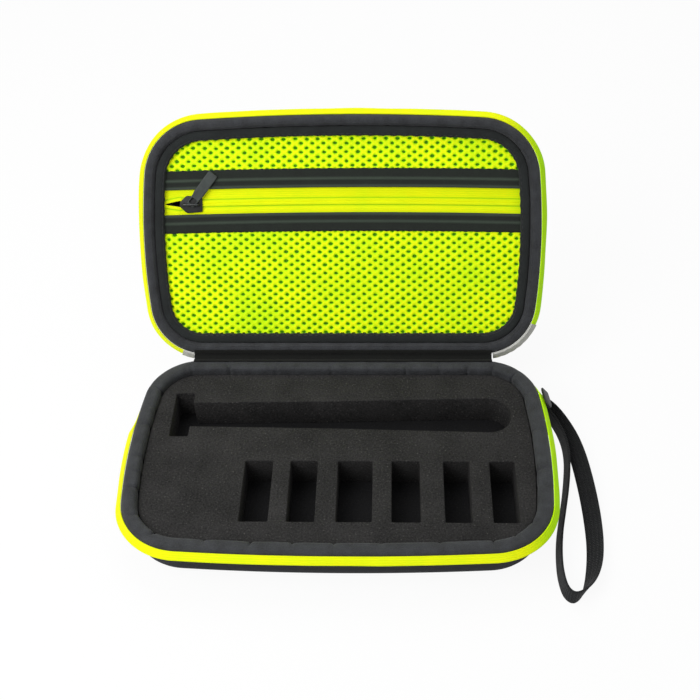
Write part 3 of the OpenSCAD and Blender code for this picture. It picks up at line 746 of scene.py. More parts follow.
def on_wall(height):
    wall = WALL_INSET + (BASE_H - RIM_DROP - AXIS_Z - height) * wall_lean
    return wall - OUTER_T / 2 - GLUE_GAP


OUTER_FOLD = [(on_wall(lip_edge - GLUED_H), lip_edge - GLUED_H),
              (on_wall(lip_edge - 2 * outer_off), lip_edge - 2 * outer_off),
              (-outer_off, lip_edge - outer_off), (-outer_off, -RIM_GAP / 2 - 0.8)]
INNER_FOLD = [(BINDING_R, crown_top + inner_off), (BINDING_R / 3, crown_top + inner_off - 0.4),
              (-0.2, -RIM_GAP / 2 + 0.4)]

# %% [markdown]
# ## Strips of the hinge
# The half on the lid is the mirror image of the other, leaned back with the lid, and a smooth curve
# joins the two. Cloth that has been opened and shut keeps creases along the hinge line, and those
# are small random waves across the strip. The curve's own length is how wide the cloth is cut.

# %% Cloth hinge
HINGE_L = 172
CREASE = 0.18


def fold_path(fold):
    fold = np.array(fold)
    base_side = np.stack([HALF_D - fold[:, 0], AXIS_Z + fold[:, 1]], 1)
    lid_side = np.stack([HALF_D + fold[:, 0] * math.cos(LEAN) - fold[:, 1] * math.sin(LEAN),
                         AXIS_Z + fold[:, 0] * math.sin(LEAN) + fold[:, 1] * math.cos(LEAN)], 1)
    return through(np.vstack([base_side, lid_side[::-1]]), steps=6)


def hinge_strip(name, fold, thickness, node):
    path = fold_path(fold)
    along = run_direction(path)
    normal = np.stack([-along[:, 1], along[:, 0]], 1)
    x = np.linspace(-HINGE_L / 2, HINGE_L / 2, 174)
    share = np.linspace(0, 1, len(path))
    loose = np.sin(np.pi * share) ** 2
    crease = np.stack([ripple(x + HINGE_L / 2, [(60, CREASE), (23, CREASE / 2)]) for _ in range(3)])
    blend = np.stack([np.interp(share, (0, 0.5, 1), row) for row in np.eye(3)])
    wave = loose[:, None] * (blend.T @ crease)
    faces = []
    for side in (1, -1):
        flat = path[:, None] + normal[:, None] * (side * thickness / 2 + wave)[..., None]
        grid = np.concatenate([np.broadcast_to(x[None, :, None], wave.shape + (1,)), flat], axis=2)
        faces.append(grid[::side])
    strip = swept(name, np.vstack(faces), sharp_above=60)
    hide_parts(node)
    by_slot.setdefault("hinge_cloth", []).append(strip)
    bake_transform(strip)
    cut_w = lengths(path)[-1]
    print(name, "is cut", round(cut_w, 1), "x", HINGE_L, "mm")
    return strip, cut_w


outer_strip, outer_cut = hinge_strip("hinge_outer_strip", OUTER_FOLD, OUTER_T, "hinge_outer_cloth")
hinge_strip("hinge_inner_strip", INNER_FOLD, INNER_T, "hinge_inner_cloth")

# %% [markdown]
# ## Grey covers over the tape's ends
# At the hinge corners a scrap of grey cloth is folded over the lid's tape, where it goes in under the
# binding. It is longer on the right. Each is a thin strip on the tape's outer face, and it lies a
# little unevenly, as a hand-folded end does.

# %% End covers
COVER_TO = 5.0


def end_cover(name, start, end, side):
    """A cover between two angles of the corner, in degrees; side -1 ends up on the right."""
    turn = np.radians(np.linspace(start, end, 40))
    outward = np.stack([side * np.cos(turn), np.sin(turn)], 1)
    points = hinge_corner * (side, 1) + HINGE_CORNER_R * outward
    run = lengths(points)
    along = np.array([-0.05, -0.4, -0.4, 1.2, 2.6, 4.2, COVER_TO, COVER_TO, 4.2, 2.6, 1.2, -0.05])
    face = np.array([0.5, 0.5, -0.5, -0.72, -0.66, -0.72, -0.55, -0.1, -0.1, -0.1, -0.1, -0.1])
    lift = np.where(face < -0.3, 1, 0)[:, None] * np.abs(ripple(run, [(9, 0.3)]))[None]
    insets, heights = tape_place(LID_H, along[:, None], face[:, None] - lift, DROOP)
    grid = as_lid(carried((points, outward, run), insets, heights))
    return swept(name, grid, sharp_above=50)


long_cover = end_cover("tape_end_cover_right", start=24, end=79, side=-1)
short_cover = end_cover("tape_end_cover_left", start=67, end=80, side=1)
belongs(long_cover, "lid", "grey_cloth", "lid_zip_end_covers")
belongs(short_cover, "lid", "grey_cloth")
print("end covers", len(long_cover.data.polygons) + len(short_cover.data.polygons), "faces")

# %% [markdown]
# ## Pocket border
# A strip of black cloth runs all round the pocket and holds the mesh down. Its inner edge is not a
# clean line: the ridges of the mesh push it back wherever they run under it, so that it has small
# scallops one mesh cell apart. A shallow channel with a row of stitches runs near that edge.

# %% Pocket border
BORDER_INSET, BORDER_W = 6.5, 5.6
WINDOW_INSET = BORDER_INSET + BORDER_W
CELL_PITCH, CELL_ROW = 6.4, 2.45
SCALLOP = 0.45
BORDER_SECTION = np.array([
    (6.5, -1.0), (6.5, -2.6), (6.8, -2.9), (9.0, -2.9), (11.7, -2.9), (12.1, -2.6), (12.1, -1.6),
    (11.9, -0.9), (11.5, -0.5), (11.1, -0.38), (10.8, -0.62), (10.5, -0.38), (9.9, -0.24),
    (8.8, -0.2), (7.7, -0.3), (6.9, -0.6)])


def scalloped(run):
    return SCALLOP * np.abs(np.sin(math.pi * run / CELL_PITCH)) ** 0.8


run = ALL_ROUND[2]
edge_share = np.clip((BORDER_SECTION[:, :1] - 11.1) / 0.9, 0, 1)
border_insets = BORDER_SECTION[:, :1] - edge_share * scalloped(run)[None]
border_heights = BORDER_SECTION[:, 1:] + np.where(BORDER_SECTION[:, 1:] > -2, 1, 0) \
    * ripple(run, [(40, 0.12), (13, 0.08)])[None]
border = swept("pocket_border_strip", as_lid(carried(ALL_ROUND, border_insets, LID_H + border_heights)),
               loop=True, sharp_above=60)
belongs(border, "lid", "border_cloth", "pocket_border")
print("border", BORDER_W, "mm wide, window", round(2 * (HALF_W - WINDOW_INSET)), "mm long")

# %% [markdown]
# ## Stitches
# A stitch is a short length of thread that rises out of the cloth and dives back into it. All the
# stitches of a seam are one mesh: the same little arched tube, repeated along the seam with arrays
# instead of a loop over objects, which would be slow.

# %% Stitches
STITCH_SIDES = 5
STITCH_SHAPE = np.array([(-0.5, -0.9, 0.1), (-0.42, 0.1, 0.8), (0.0, 0.5, 1.0), (0.42, 0.1, 0.8),
                         (0.5, -0.9, 0.1)])


def ring_faces(rings, sides):
    """The faces between each ring of points and the next."""
    faces = []
    for ring in range(rings - 1):
        for k in range(sides):
            l = (k + 1) % sides
            faces.append((ring * sides + k, ring * sides + l, (ring + 1) * sides + l,
                          (ring + 1) * sides + k))
    return faces


def repeated(faces, count, each):
    """The same faces for each of many copies, which have so many points each."""
    return [tuple(i * each + corner for corner in face) for i in range(count) for face in faces]


def stitches(name, places, along, up, length, radius):
    """Threads at the places: each has a direction along the seam and one out of the cloth."""
    along, up = unit(along), unit(up)
    aside = np.cross(along, up)
    turn = 2 * math.pi * np.arange(STITCH_SIDES) / STITCH_SIDES
    rings = []
    for share, rise, thick in STITCH_SHAPE:
        middle = places + along * share * length + up * rise * radius
        for a in turn:
            rings.append(middle + radius * thick * (np.cos(a) * up + np.sin(a) * aside))
    points = np.stack(rings, axis=1)
    count, each = points.shape[:2]
    faces = ring_faces(len(STITCH_SHAPE), STITCH_SIDES)
    faces += [tuple(range(STITCH_SIDES))[::-1], tuple(range(each - STITCH_SIDES, each))]
    return finish_mesh(name, points.reshape(-1, 3), repeated(faces, count, each))


def seam(name, stations, inset, height, place, pitch, length, radius):
    """Stitches along a line round the rim, at a distance in from the outline and a height."""
    _, _, run = stations
    line = place(carried(stations, [[inset]], [[height]]))[0]
    raised = place(carried(stations, [[inset]], [[height + 1]]))[0]
    at = np.arange(0, run[-1], pitch)
    spots, tops, ahead = (np.stack([np.interp(x, run, part[:, c]) for c in range(3)], 1)
                          for x, part in ((at, line), (at, raised), (at + 0.5, line)))
    return stitches(name, spots, ahead - spots, tops - spots, length, radius)


threads = [seam("binding_stitches", ALL_ROUND, inset=4.9, height=LID_H + BINDING_PUFF - 0.32,
                place=as_lid, pitch=3.4, length=2.0, radius=0.22),
           seam("border_stitches", ALL_ROUND, inset=10.8, height=LID_H - 0.6, place=as_lid,
                pitch=3.2, length=2.2, radius=0.2)]
for thread in threads:
    belongs(thread, "lid", "binding_cloth")
    print(thread.name, len(thread.data.polygons), "faces")

# %% [markdown]
# ## Spacer mesh
# The pocket's panels are spacer mesh: a knitted honeycomb on the front, and a plain knit behind it.
# Each cell is a hexagon whose edges are the crests of the knit, with an oval hole in its middle, and
# the surface falls from the crest into the hole in a few rings and closes at its bottom, where a
# darker green is painted shade for the shaded knit seen through the hole. Cells share their corners,
# so small waves that depend only on the place can pull the whole net out of true without tearing it.

# %% Cell of the mesh
MESH_TOP, MESH_T = -3.0, 1.6
MESH_INSET = 8.0
HEX = np.array([(0.66, 2.45), (-0.66, 2.45), (-2.54, 0), (-0.66, -2.45), (0.66, -2.45), (2.54, 0)])
HEX_RING = np.vstack([np.stack([corner, (corner + following) / 2])
                      for corner, following in zip(HEX, np.roll(HEX, -1, axis=0))])
HOLE = np.array([1.22, 0.84])
RING_SHARE = (0, 0.42, 0.8, 1, 1)
RING_SIZE = (1, 1, 1, 1, 0.72)
RING_DEPTH = (0, 0.07, 0.3, 0.62, 1.12)
half_rim = len(ALL_ROUND[2]) // 2 + 1


def half_width(v, inset):
    """Half the lid's width at a distance from the hinge line, so far in from its outline."""
    edge = ALL_ROUND[0][:half_rim] - ALL_ROUND[1][:half_rim] * inset
    return np.interp(HALF_D - np.asarray(v, float), edge[:, 1], edge[:, 0])


def net_pull(u, v):
    """Where the net's points move to, sideways and up or down, by their place alone."""
    return (0.16 * np.sin(0.31 * u + 0.53 * v) + 0.1 * np.sin(1.9 * u - 1.1 * v),
            0.13 * np.sin(0.27 * u - 0.61 * v + 1) + 0.08 * np.sin(1.3 * u + 2.3 * v),
            0.1 * np.sin(0.09 * u + 1) * np.sin(0.13 * v))


# %% [markdown]
# ## A net of cells
# The cells stand in rows, every second one shifted by half a cell, as far as the rim's outline lets
# them. One list of faces is repeated for all of them, and the points on the crests are welded, so
# that the net is one surface. A float on each point says how deep it lies, and the colour uses that
# later to paint shade into the slopes and the holes.

# %% Honeycomb
def honeycomb(name, low_v, high_v):
    rows = np.arange(math.ceil(low_v / CELL_ROW), math.floor(high_v / CELL_ROW) + 1)
    centres = []
    for row in rows:
        v = row * CELL_ROW
        reach = half_width(v, 9.6)
        u = (np.arange(-20, 21) + (0.5 if row % 2 else 0)) * CELL_PITCH
        if reach > 0:
            centres += [(x, v) for x in u if abs(x) < reach]
    centres = np.array(centres)
    turn = np.arctan2(HEX_RING[:, 1] / HOLE[1], HEX_RING[:, 0] / HOLE[0])
    oval = np.stack([HOLE[0] * np.cos(turn), HOLE[1] * np.sin(turn)], 1)
    count, sides = len(centres), len(HEX_RING)
    size = random.uniform(0.9, 1.1, (count, 1, 1))
    shift = random.uniform(-0.13, 0.13, (count, 1, 2))
    rings, depths = [], []
    for share, part, depth in zip(RING_SHARE, RING_SIZE, RING_DEPTH):
        inner = oval[None] * part * size + shift
        flat = centres[:, None] + HEX_RING[None] * (1 - share) + inner * share
        rings.append(flat)
        depths.append(np.full((count, sides), depth))
    rings.append(centres[:, None] + shift)
    depths.append(np.full((count, 1), RING_DEPTH[-1] + 0.1))
    flat, depth = np.concatenate(rings, axis=1), np.concatenate(depths, axis=1)
    side, rise, out = net_pull(flat[..., 0], flat[..., 1])
    points = np.stack([flat[..., 0] + side, flat[..., 1] + rise, MESH_TOP + out - depth], axis=-1)
    faces = ring_faces(len(RING_SHARE), sides)
    last = (len(RING_SHARE) - 1) * sides
    faces += [(last + k, last + (k + 1) % sides, last + sides) for k in range(sides)]
    shifted = repeated(faces, count, points.shape[1])
    mesh = bpy.data.meshes.new(name)
    mesh.from_pydata((in_lid(points.reshape(-1, 3)) * MM).tolist(), [], shifted)
    layer = mesh.attributes.new("depth", "FLOAT", "POINT")
    layer.data.foreach_set("value", depth.ravel().astype(np.float32))
    clean(mesh, sharp_above=180, weld=0.01)
    return put_in_scene(name, mesh), count


# %% [markdown]
# ## Panels of the pocket
# The pocket's zip, its edging and the two panels all bow upwards a little in the middle, because the
# mesh is sewn in slightly tight. One helper carries a section across the pocket with that bow and
# ends it at the rim's outline, so that every strip fits the window.

# %% Pocket panels
BOW = 1.4
window_end = HALF_W - WINDOW_INSET


def bow(u):
    return BOW * (1 - (u / window_end) ** 2)


def strip_across(name, section, inset, step, shape=None, sharp_above=50):
    """A strip across the pocket: a ring of (v, h) points, with stations that reach the outline."""
    section = np.array(section, float)
    share = np.linspace(-1, 1, int(2 * window_end / step))
    v = np.repeat(section[:, :1], len(share), axis=1)
    h = np.repeat(section[:, 1:], len(share), axis=1)
    u = share[None] * half_width(section[:, 0], inset)[:, None]
    if shape:
        v, h = shape(u, v, h)
    return swept(name, in_lid(np.stack([u, v + bow(u), h], axis=-1)), sharp_above=sharp_above)


def backing(name, low_v, high_v):
    """The plain knit behind the honeycomb, as a thin closed panel."""
    v = np.linspace(low_v, high_v, 12)
    top = [(x, MESH_TOP - 1.25) for x in v]
    bottom = [(x, MESH_TOP - MESH_T) for x in v[::-1]]
    return strip_across(name, top + bottom, MESH_INSET, step=4)


ZIP_V = 86.3
UPPER_EDGE, LOWER_EDGE = 94.2, 80.2
EDGING_W = 11
TAPE_UNDER = 2.4
panels = {"upper": (UPPER_EDGE + TAPE_UNDER, 2 * HALF_D - MESH_INSET - 2),
          "lower": (MESH_INSET + 0.5, LOWER_EDGE - TAPE_UNDER)}
for side, (low_v, high_v) in panels.items():
    net, cells = honeycomb(f"pocket_net_{side}", low_v + 3, high_v)
    back_panel = backing(f"pocket_backing_{side}", low_v, high_v)
    mean_w = float(np.mean(2 * half_width(np.linspace(low_v, high_v, 50), MESH_INSET)))
    full_w = float(2 * half_width(low_v + (high_v - low_v) * (0.05 if side == "upper" else 0.9),
                                  MESH_INSET))
    belongs(back_panel, "lid", "neon_mesh", f"pocket_mesh_{side}")
    belongs(net, "lid", "neon_mesh")
    print(side, "panel", cells, "cells,", round(full_w), "x", round(high_v - low_v), "mm")

# %% [markdown]
# ## Edging strips
# A folded black strip covers the cut edge of each panel beside the pocket's zip. It has two raised
# lines, one at its fold and one where it is sewn, and the ridges of the net push its edge back as
# they do at the border.

# %% Edging strips
EDGING_INSET = WINDOW_INSET - 0.8
EDGING_TOP, EDGING_BOTTOM = -2.4, -2.9
EDGING_PROFILE = [(0, -0.25), (0.15, 0.02), (0.5, 0.16), (0.95, 0.02), (2.6, 0.0), (4.3, 0.02),
                  (4.8, 0.18), (5.35, 0.02), (7.4, 0.0), (9.6, 0.02), (10.5, -0.04), (11, -0.25)]


def edging(side, edge, towards_net):
    top = [(edge + towards_net * across, EDGING_TOP + rise) for across, rise in EDGING_PROFILE]
    bottom = [(edge + towards_net * EDGING_W, EDGING_BOTTOM), (edge, EDGING_BOTTOM)]

    def shape(u, v, h):
        near_net = np.clip((np.abs(v - edge) - 9) / 2, 0, 1)
        wave = ripple(u[0] - u[0, 0], [(45, 0.12), (16, 0.06)])[None]
        return v - towards_net * near_net * scalloped(u), h + np.where(h > EDGING_BOTTOM, wave, 0)

    strip = strip_across(f"pocket_edging_strip_{side}", top + bottom, EDGING_INSET, step=0.8,
                         shape=shape)
    flat_l = 2 * half_width(edge, EDGING_INSET)
    belongs(strip, "lid", "edging_cloth", f"pocket_edging_{side}")


edging("upper", UPPER_EDGE, 1)
edging("lower", LOWER_EDGE, -1)
print("edging", EDGING_W, "mm wide")

# %% [markdown]
# ## Pocket zip
# The pocket's zip has its coils behind, so that only neon tape shows, with a raised band down the
# middle where the tapes lie over the coils, and a groove on each side. To the left of the slider the
# zip is still open: the two tapes part in a narrow V, and the turns of the coils show in it as
# black teeth. The same function of the place along the zip parts the tapes and the coils.

# %% Pocket zip
SLIDER_U = -85.6
NOSE_U = SLIDER_U - 6.5
PART_AT_NOSE = 1.75
TAPE_PROFILE = [(0, -3.72), (0.1, -3.6), (0.45, -3.52), (1.0, -3.5), (1.5, -3.58), (1.85, -3.86),
                (2.15, -3.98), (2.6, -3.84), (3.4, -3.8), (9.6, -3.8), (9.6, -4.4), (0, -4.4)]
POCKET_COIL_H, POCKET_COIL_PITCH, POCKET_WIRE = -5.35, 1.3, 0.26


def parting(u):
    """How far each tape's edge lies from the zip's middle."""
    opening = np.clip((u + window_end) / (NOSE_U + window_end), 0, 1) ** 0.8
    closing = np.clip((SLIDER_U + 4 - u) / (SLIDER_U + 4 - NOSE_U), 0, 1) ** 1.5
    return 0.01 + PART_AT_NOSE * np.where(u < NOSE_U, opening, closing)


def pocket_zip_half(side, up):
    section = [(ZIP_V + up * across, height) for across, height in TAPE_PROFILE]

    def shape(u, v, h):
        near = np.clip(1 - (np.abs(v - ZIP_V) - 2.5) / 5, 0, 1)
        return v + up * parting(u) * near, h + ripple(u[0] - u[0, 0], [(38, 0.06), (12, 0.05)])[None]

    tape = strip_across(f"pocket_tape_{side}", section, MESH_INSET, step=0.9, shape=shape)
    belongs(tape, "lid", "neon_tape", f"pocket_zip_tape_{side}")
    reach = window_end + 1.5
    phase = coil_turns(2 * reach, POCKET_COIL_PITCH)
    u = np.linspace(-reach, reach, len(phase))
    v = ZIP_V + bow(u) + up * (0.9 + parting(u) * 0.55 + 0.95 * np.cos(phase))
    wire = in_lid(np.stack([u, v, POCKET_COIL_H + 0.65 * np.sin(phase)], 1))
    hint = np.broadcast_to(in_lid([0, 0, 1]) - in_lid([0, 0, 0]), wire.shape) + 0.01
    coil = swept(f"pocket_coil_spiral_{side}", tube_grid(wire, POCKET_WIRE, COIL_SIDES, hint),
                 sharp_above=80)
    belongs(coil, "lid", "zip_coil", f"pocket_zip_coil_{side}")


pocket_zip_half("upper", 1)
pocket_zip_half("lower", -1)
print("pocket zip", round(2 * window_end), "mm long")

# %% [markdown]
# ## Sliders
# A zip slider is two small plates on a post, with guards along their sides, and a bail over the
# front one that holds the pull's eye. Both sliders of the case are the same casting in two sizes.
# They are drawn on their own axes, with the nose towards -X and the bail up, and then put in place
# with a matrix.

# %% Sliders
SLIDER_L = 13
PLATE_T = 1
BAIL_W, BAIL_T = 1.3, 0.85


def axes(origin, x_axis, z_axis):
    x, z = unit(np.array(x_axis, float)), unit(np.array(z_axis, float))
    rotation = Matrix(np.stack([x, np.cross(z, x), z]).tolist()).transposed().to_4x4()
    return Matrix.Translation(np.array(origin) * MM) @ rotation


def plate(name, width, low, high):
    half, tail = SLIDER_L / 2, width * 0.4
    outline = [(-half, -1.3), (-half + 4, -width / 2), (half - 1, -tail - 0.3), (half, -tail),
               (half, tail), (half - 1, tail + 0.3), (-half + 4, width / 2), (-half, 1.3)]
    return cut_sheet(name, [rounded(outline, 1.1, steps=4)], low, high, edge=0.32)


def bar_along(name, path, width, thickness):
    """A flat bar with round edges along a path in the X and Z plane."""
    path = through(np.array(path, float), steps=4)
    along = run_direction(path)
    normal = np.stack([-along[:, 1], along[:, 0]], 1)
    a, b = width / 2, thickness / 2
    section = [(a - b * 0.6, b), (-a + b * 0.6, b), (-a, b * 0.4), (-a, -b * 0.4),
               (-a + b * 0.6, -b), (a - b * 0.6, -b), (a, -b * 0.4), (a, b * 0.4)]
    grid = np.stack([np.stack([path[:, 0] + normal[:, 0] * z, np.full(len(path), y),
                               path[:, 1] + normal[:, 1] * z], 1) for y, z in section])
    return swept(name, grid, sharp_above=50)


def slider(prefix, width, above, below, bail_l, place, body, nodes):
    """A casting and its bail; above and below are the gaps from the tape's middle to the plates."""
    top, low = above + PLATE_T, -below - PLATE_T
    parts = [plate(prefix + "_top_plate", width, above, top), plate("low_plate", width, low, -below)]
    post = rounded([(-5.3, -0.3), (-1.3, -0.3), (-1.3, 0.3), (-5.3, 0.3)], 0.25, steps=3)
    parts.append(cut_sheet("post", [post], low + 0.4, top - 0.4, edge=0.05))
    for side in (-1, 1):
        guard = rounded([(-1.5, side * (width * 0.44 - 0.55)), (5.4, side * (width * 0.4 - 0.55)),
                         (5.4, side * width * 0.4), (-1.5, side * width * 0.44)], 0.25, steps=3)
        parts.append(cut_sheet("guard", [guard], low + 0.6, -below + 0.25, edge=0.05))
    for x in (-bail_l / 2 + 0.4, bail_l / 2 - 0.4):
        boss = rounded([(x - 0.9, -1.1), (x + 0.9, -1.1), (x + 0.9, 1.1), (x - 0.9, 1.1)], 0.6,
                       steps=4)
        parts.append(cut_sheet("boss", [boss], top - 0.3, top + 0.28, edge=0.12))
    casting = joined(prefix + "_casting", parts)
    foot, crest = top + 0.1, top + 2.35
    half = bail_l / 2 - 0.45
    arch = [(-half, foot), (-half, foot + 1.3), (-half + 0.35, crest - 0.25), (-half + 1.2, crest),
            (0, crest + 0.05), (half - 1.2, crest), (half - 0.35, crest - 0.25), (half, foot + 1.3),
            (half, foot)]
    bail = bar_along(prefix + "_bail_bar", arch, BAIL_W, BAIL_T)
    for piece, node in ((casting, nodes[0]), (bail, nodes[1])):
        piece.data.transform(place)
        belongs(piece, body, "zip_metal", node)
    return bail


# %% [markdown]
# ## Pulls, and both sliders in place
# A pull stays a piece of its own, because it swings on the bail. The pocket's slider lies on its zip
# with the pull turned to the upper right. The main one hangs on the base's drooping tape, near the
# right hinge corner, with its pull trailing along the wall.

# %% Pulls and places
PULL_L, PULL_W, PULL_T = 22, 5, 1.2
EYE_WALL, PULL_TIP = 0.8, 1.8
RUN_GAP = 0.3
POCKET_ABOVE, MAIN_ABOVE = 0.7, 2.65
POCKET_TAPE_MIDDLE = -4.1
POCKET_PULL_TURN = math.radians(52)
MAIN_SLIDER_Y = 41


def pull(prefix, above, eye_l, blade, place, angle, body, node):
    """A flat pull: a loop for the bail, a short neck, and a blade of its own width."""
    low = above + PLATE_T + RUN_GAP
    neck = eye_l + 2 * EYE_WALL
    outline = rounded([(-0.6, -PULL_W / 2), (neck, -PULL_W / 2), (neck + PULL_TIP, -blade / 2),
                       (PULL_L, -blade / 2), (PULL_L, blade / 2), (neck + PULL_TIP, blade / 2),
                       (neck, PULL_W / 2), (-0.6, PULL_W / 2)], 1.1, steps=6)
    eye = rounded([(0.6, -1.7), (eye_l, -1.7), (eye_l, 1.7), (0.6, 1.7)], 0.6)
    tab = cut_sheet(prefix + "_pull_slab", [outline, eye], low, low + PULL_T, edge=0.3)
    tab.data.transform(place @ Matrix.Rotation(angle, 4, "Z"))
    belongs(tab, body, "pull_plastic", node)


zip_origin = in_lid([SLIDER_U, ZIP_V, POCKET_TAPE_MIDDLE])
out_of_lid = in_lid([0, 0, 1]) - in_lid([0, 0, 0])
pocket_place = axes(zip_origin, (1, 0, 0), out_of_lid)
bails = [slider("pocket_slider", width=10, above=POCKET_ABOVE, below=2.5, bail_l=10,
                place=pocket_place, body="pocket_slider",
                nodes=("pocket_slider_body", "pocket_slider_bail"))]
pull("pocket", POCKET_ABOVE, eye_l=4.0, blade=6, place=pocket_place, angle=POCKET_PULL_TURN,
     body="pocket_pull", node="pocket_pull_tab")

main_turn = math.asin(MAIN_SLIDER_Y / SIDE_R)
main_along = TAPE_W + 0.25 + RUN_GAP + 0.3
main_inset, main_z = tape_place(BASE_H, main_along, TAPE_T / 2, DROOP)
outwards = np.array([math.cos(main_turn), math.sin(main_turn), 0])
main_origin = np.array([side_c[0], 0, main_z]) + outwards * (SIDE_R - main_inset)
main_up = -outwards * math.sin(DROOP) - np.array([0, 0, math.cos(DROOP)])
main_place = axes(main_origin, (-outwards[1], outwards[0], 0), main_up)
bails.append(slider("main_slider", width=7.4, above=MAIN_ABOVE, below=0.95, bail_l=7,
                    place=main_place, body="main_slider",
                    nodes=("main_slider_body", "main_slider_bail")))
pull("main", MAIN_ABOVE, eye_l=4.7, blade=PULL_W, place=main_place, angle=math.pi,
     body="main_pull", node="main_pull_tab")
print("main slider at", [round(float(x), 1) for x in main_origin])

# %% [markdown]
# ## Strap tab
# The strap's two ends go into a small folded tab that is sewn to the wall. It is a copy of its CAD
# piece with rounded edges.

# %% Strap tab
tab_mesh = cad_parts["strap_tab"].data.copy()
work = bmesh.new()
work.from_mesh(tab_mesh)
bmesh.ops.remove_doubles(work, verts=work.verts, dist=0.01 * MM)
bmesh.ops.dissolve_limit(work, angle_limit=0.02, verts=work.verts, edges=work.edges)
bmesh.ops.bevel(work, geom=work.edges[:], offset=0.35 * MM, segments=3, affect="EDGES", profile=0.6)
work.to_mesh(tab_mesh)
work.free()
clean(tab_mesh, sharp_above=50)
tab = put_in_scene("strap_tab_folded", tab_mesh)
belongs(tab, "base", "webbing", "strap_tab")
print("strap tab", len(tab_mesh.polygons), "faces")

# %% [markdown]
# ## Shader expressions
# Finishes read best as sums. A small class wraps a node's output, and plus, minus and times signs
# then add Math nodes to it, so that a weave is written as waves and products.

# %% Shader expressions
class Value:
    """The output of a shader node, on which the usual signs add Math nodes."""

    def __init__(self, finish, socket):
        self.finish = finish
        self.socket = socket

    def out(self, name):
        return Value(self.finish, self.socket.node.outputs[name])

    def maths(self, operation, *others):
        return self.finish.maths(operation, self, *others)

    def __add__(self, other):
        return self.maths("ADD", other)

    def __sub__(self, other):
        return self.maths("SUBTRACT", other)

    def __rsub__(self, other):
        return self.finish.maths("SUBTRACT", other, self)

    def __mul__(self, other):
        return self.maths("MULTIPLY", other)

    def __abs__(self):
        return self.maths("ABSOLUTE")

    __radd__ = __add__
    __rmul__ = __mul__

    def wave(self, length):
        """A sine wave from -1 to 1 of a length in millimetres."""
        return (self * (2 * math.pi / length)).maths("SINE")

    def between(self, low, high):
        """0 at low, 1 at high, and a straight ramp from one to the other."""
        return self.finish.node("ShaderNodeMapRange", {}, {0: self, 1: low, 2: high})


def tone(red, green, blue):
    """A colour as it looks on a screen, from 0 to 255, in the linear values that shaders use."""
    share = np.array([red, green, blue]) / 255
    linear = np.where(share <= 0.04045, share / 12.92, ((share + 0.055) / 1.055) ** 2.4)
    return (*(float(x) for x in linear), 1.0)


# %% [markdown]
# ## A maker of finishes
# A second class holds one material's nodes. One method adds any node: it takes the node's settings
# first, then what goes into its sockets, as a number, a colour or another node's output. The others
# are short names for what the finishes need again and again: a place on the cloth, a place in the
# object, a noise with patches of a size, a blend of two colours, and the surface itself.

# %% Finish maker
class Finish:
    """The nodes of a material or of the world, made from expressions."""

    def __init__(self, owner):
        if isinstance(owner, str):
            owner = bpy.data.materials.new(owner)
        owner.use_nodes = True
        self.material = owner
        self.tree = owner.node_tree
        self.tree.nodes.clear()

    def node(self, kind, settings, sockets):
        made = self.tree.nodes.new(kind)
        for key, value in settings.items():
            setattr(made, key, value)
        for key, value in sockets.items():
            if isinstance(value, Value):
                self.tree.links.new(value.socket, made.inputs[key])
            else:
                made.inputs[key].default_value = value
        return Value(self, next((o for o in made.outputs if o.enabled), None))

    def maths(self, operation, *values):
        return self.node("ShaderNodeMath", {"operation": operation}, dict(enumerate(values)))

    def strip(self):
        """Place on the cloth in millimetres, along and across, from the strip's own map."""
        return self.node("ShaderNodeUVMap", {"uv_map": "cloth"}, {})

    def spot(self):
        """Place in the object in millimetres, for pieces without a map."""
        here = self.node("ShaderNodeTexCoord", {}, {}).out("Object")
        return self.node("ShaderNodeVectorMath", {"operation": "SCALE"}, {0: here, "Scale": 1 / MM})

    def parts(self, vector):
        first = self.node("ShaderNodeSeparateXYZ", {}, {0: vector})
        return first, first.out("Y"), first.out("Z")

    def noise(self, vector, size, detail=2.0):
        """Random from 0 to 1, with patches of about a size in millimetres."""
        return self.node("ShaderNodeTexNoise", {}, {"Vector": vector, "Scale": 1 / size,
                                                    "Detail": detail, "Roughness": 0.55})

    def mix(self, share, low, high):
        return self.node("ShaderNodeMix", {"data_type": "RGBA"}, {0: share, 6: low, 7: high})

    def seen(self):
        """1 for rays that come from the camera, straight, off a shine or through glass, else 0."""
        rays = self.node("ShaderNodeLightPath", {}, {})
        kinds = [rays.out(f"Is {kind} Ray") for kind in ("Camera", "Glossy", "Transmission")]
        return sum(kinds[1:], kinds[0]).between(0, 1)

    def surface(self, sockets, height=None, depth=0.1):
        """The shader; height is a bump, and depth what 1 on it is worth in millimetres."""
        if height is not None:
            sockets = dict(sockets, Normal=self.node(
                "ShaderNodeBump", {}, {"Strength": 1.0, "Distance": depth * MM, "Height": height}))
        shader = self.node("ShaderNodeBsdfPrincipled", {}, sockets)
        self.node("ShaderNodeOutputMaterial", {}, {"Surface": shader})
        return self.material


# %% [markdown]
# ## Cloths
# Most of the case is black cloth, and what tells one cloth from another is its yarn and its shine.
# A plain weave is the product of two sine waves across each other, and a knit has ribs along the
# strip with a shorter wave on them. Slow noise shifts the colour and the roughness, because no cloth
# that has been handled is even, and a fine fuzz breaks up the highlight.

# %% Weave and knit
def woven(name, dark, light, yarn, rough, sheen, depth, from_map=True):
    cloth = Finish(name)
    place = cloth.strip() if from_map else cloth.spot()
    along, across, high = cloth.parts(place)
    if not from_map:
        along, across = along + high * 0.5, across + high * 0.5
    weave = along.wave(yarn) * across.wave(yarn)
    patches = cloth.noise(place, 9)
    fuzz = cloth.noise(place, 0.6, 4.0)
    share = (weave * 0.2 + patches * 0.5 + fuzz * 0.6).between(0.25, 0.85)
    return cloth.surface({"Base Color": cloth.mix(share, dark, light),
                          "Roughness": patches * 0.16 + (rough - 0.08),
                          "Sheen Weight": sheen, "Sheen Roughness": 0.45,
                          "Specular IOR Level": 0.2}, weave * 0.6 + fuzz * 0.8, depth)


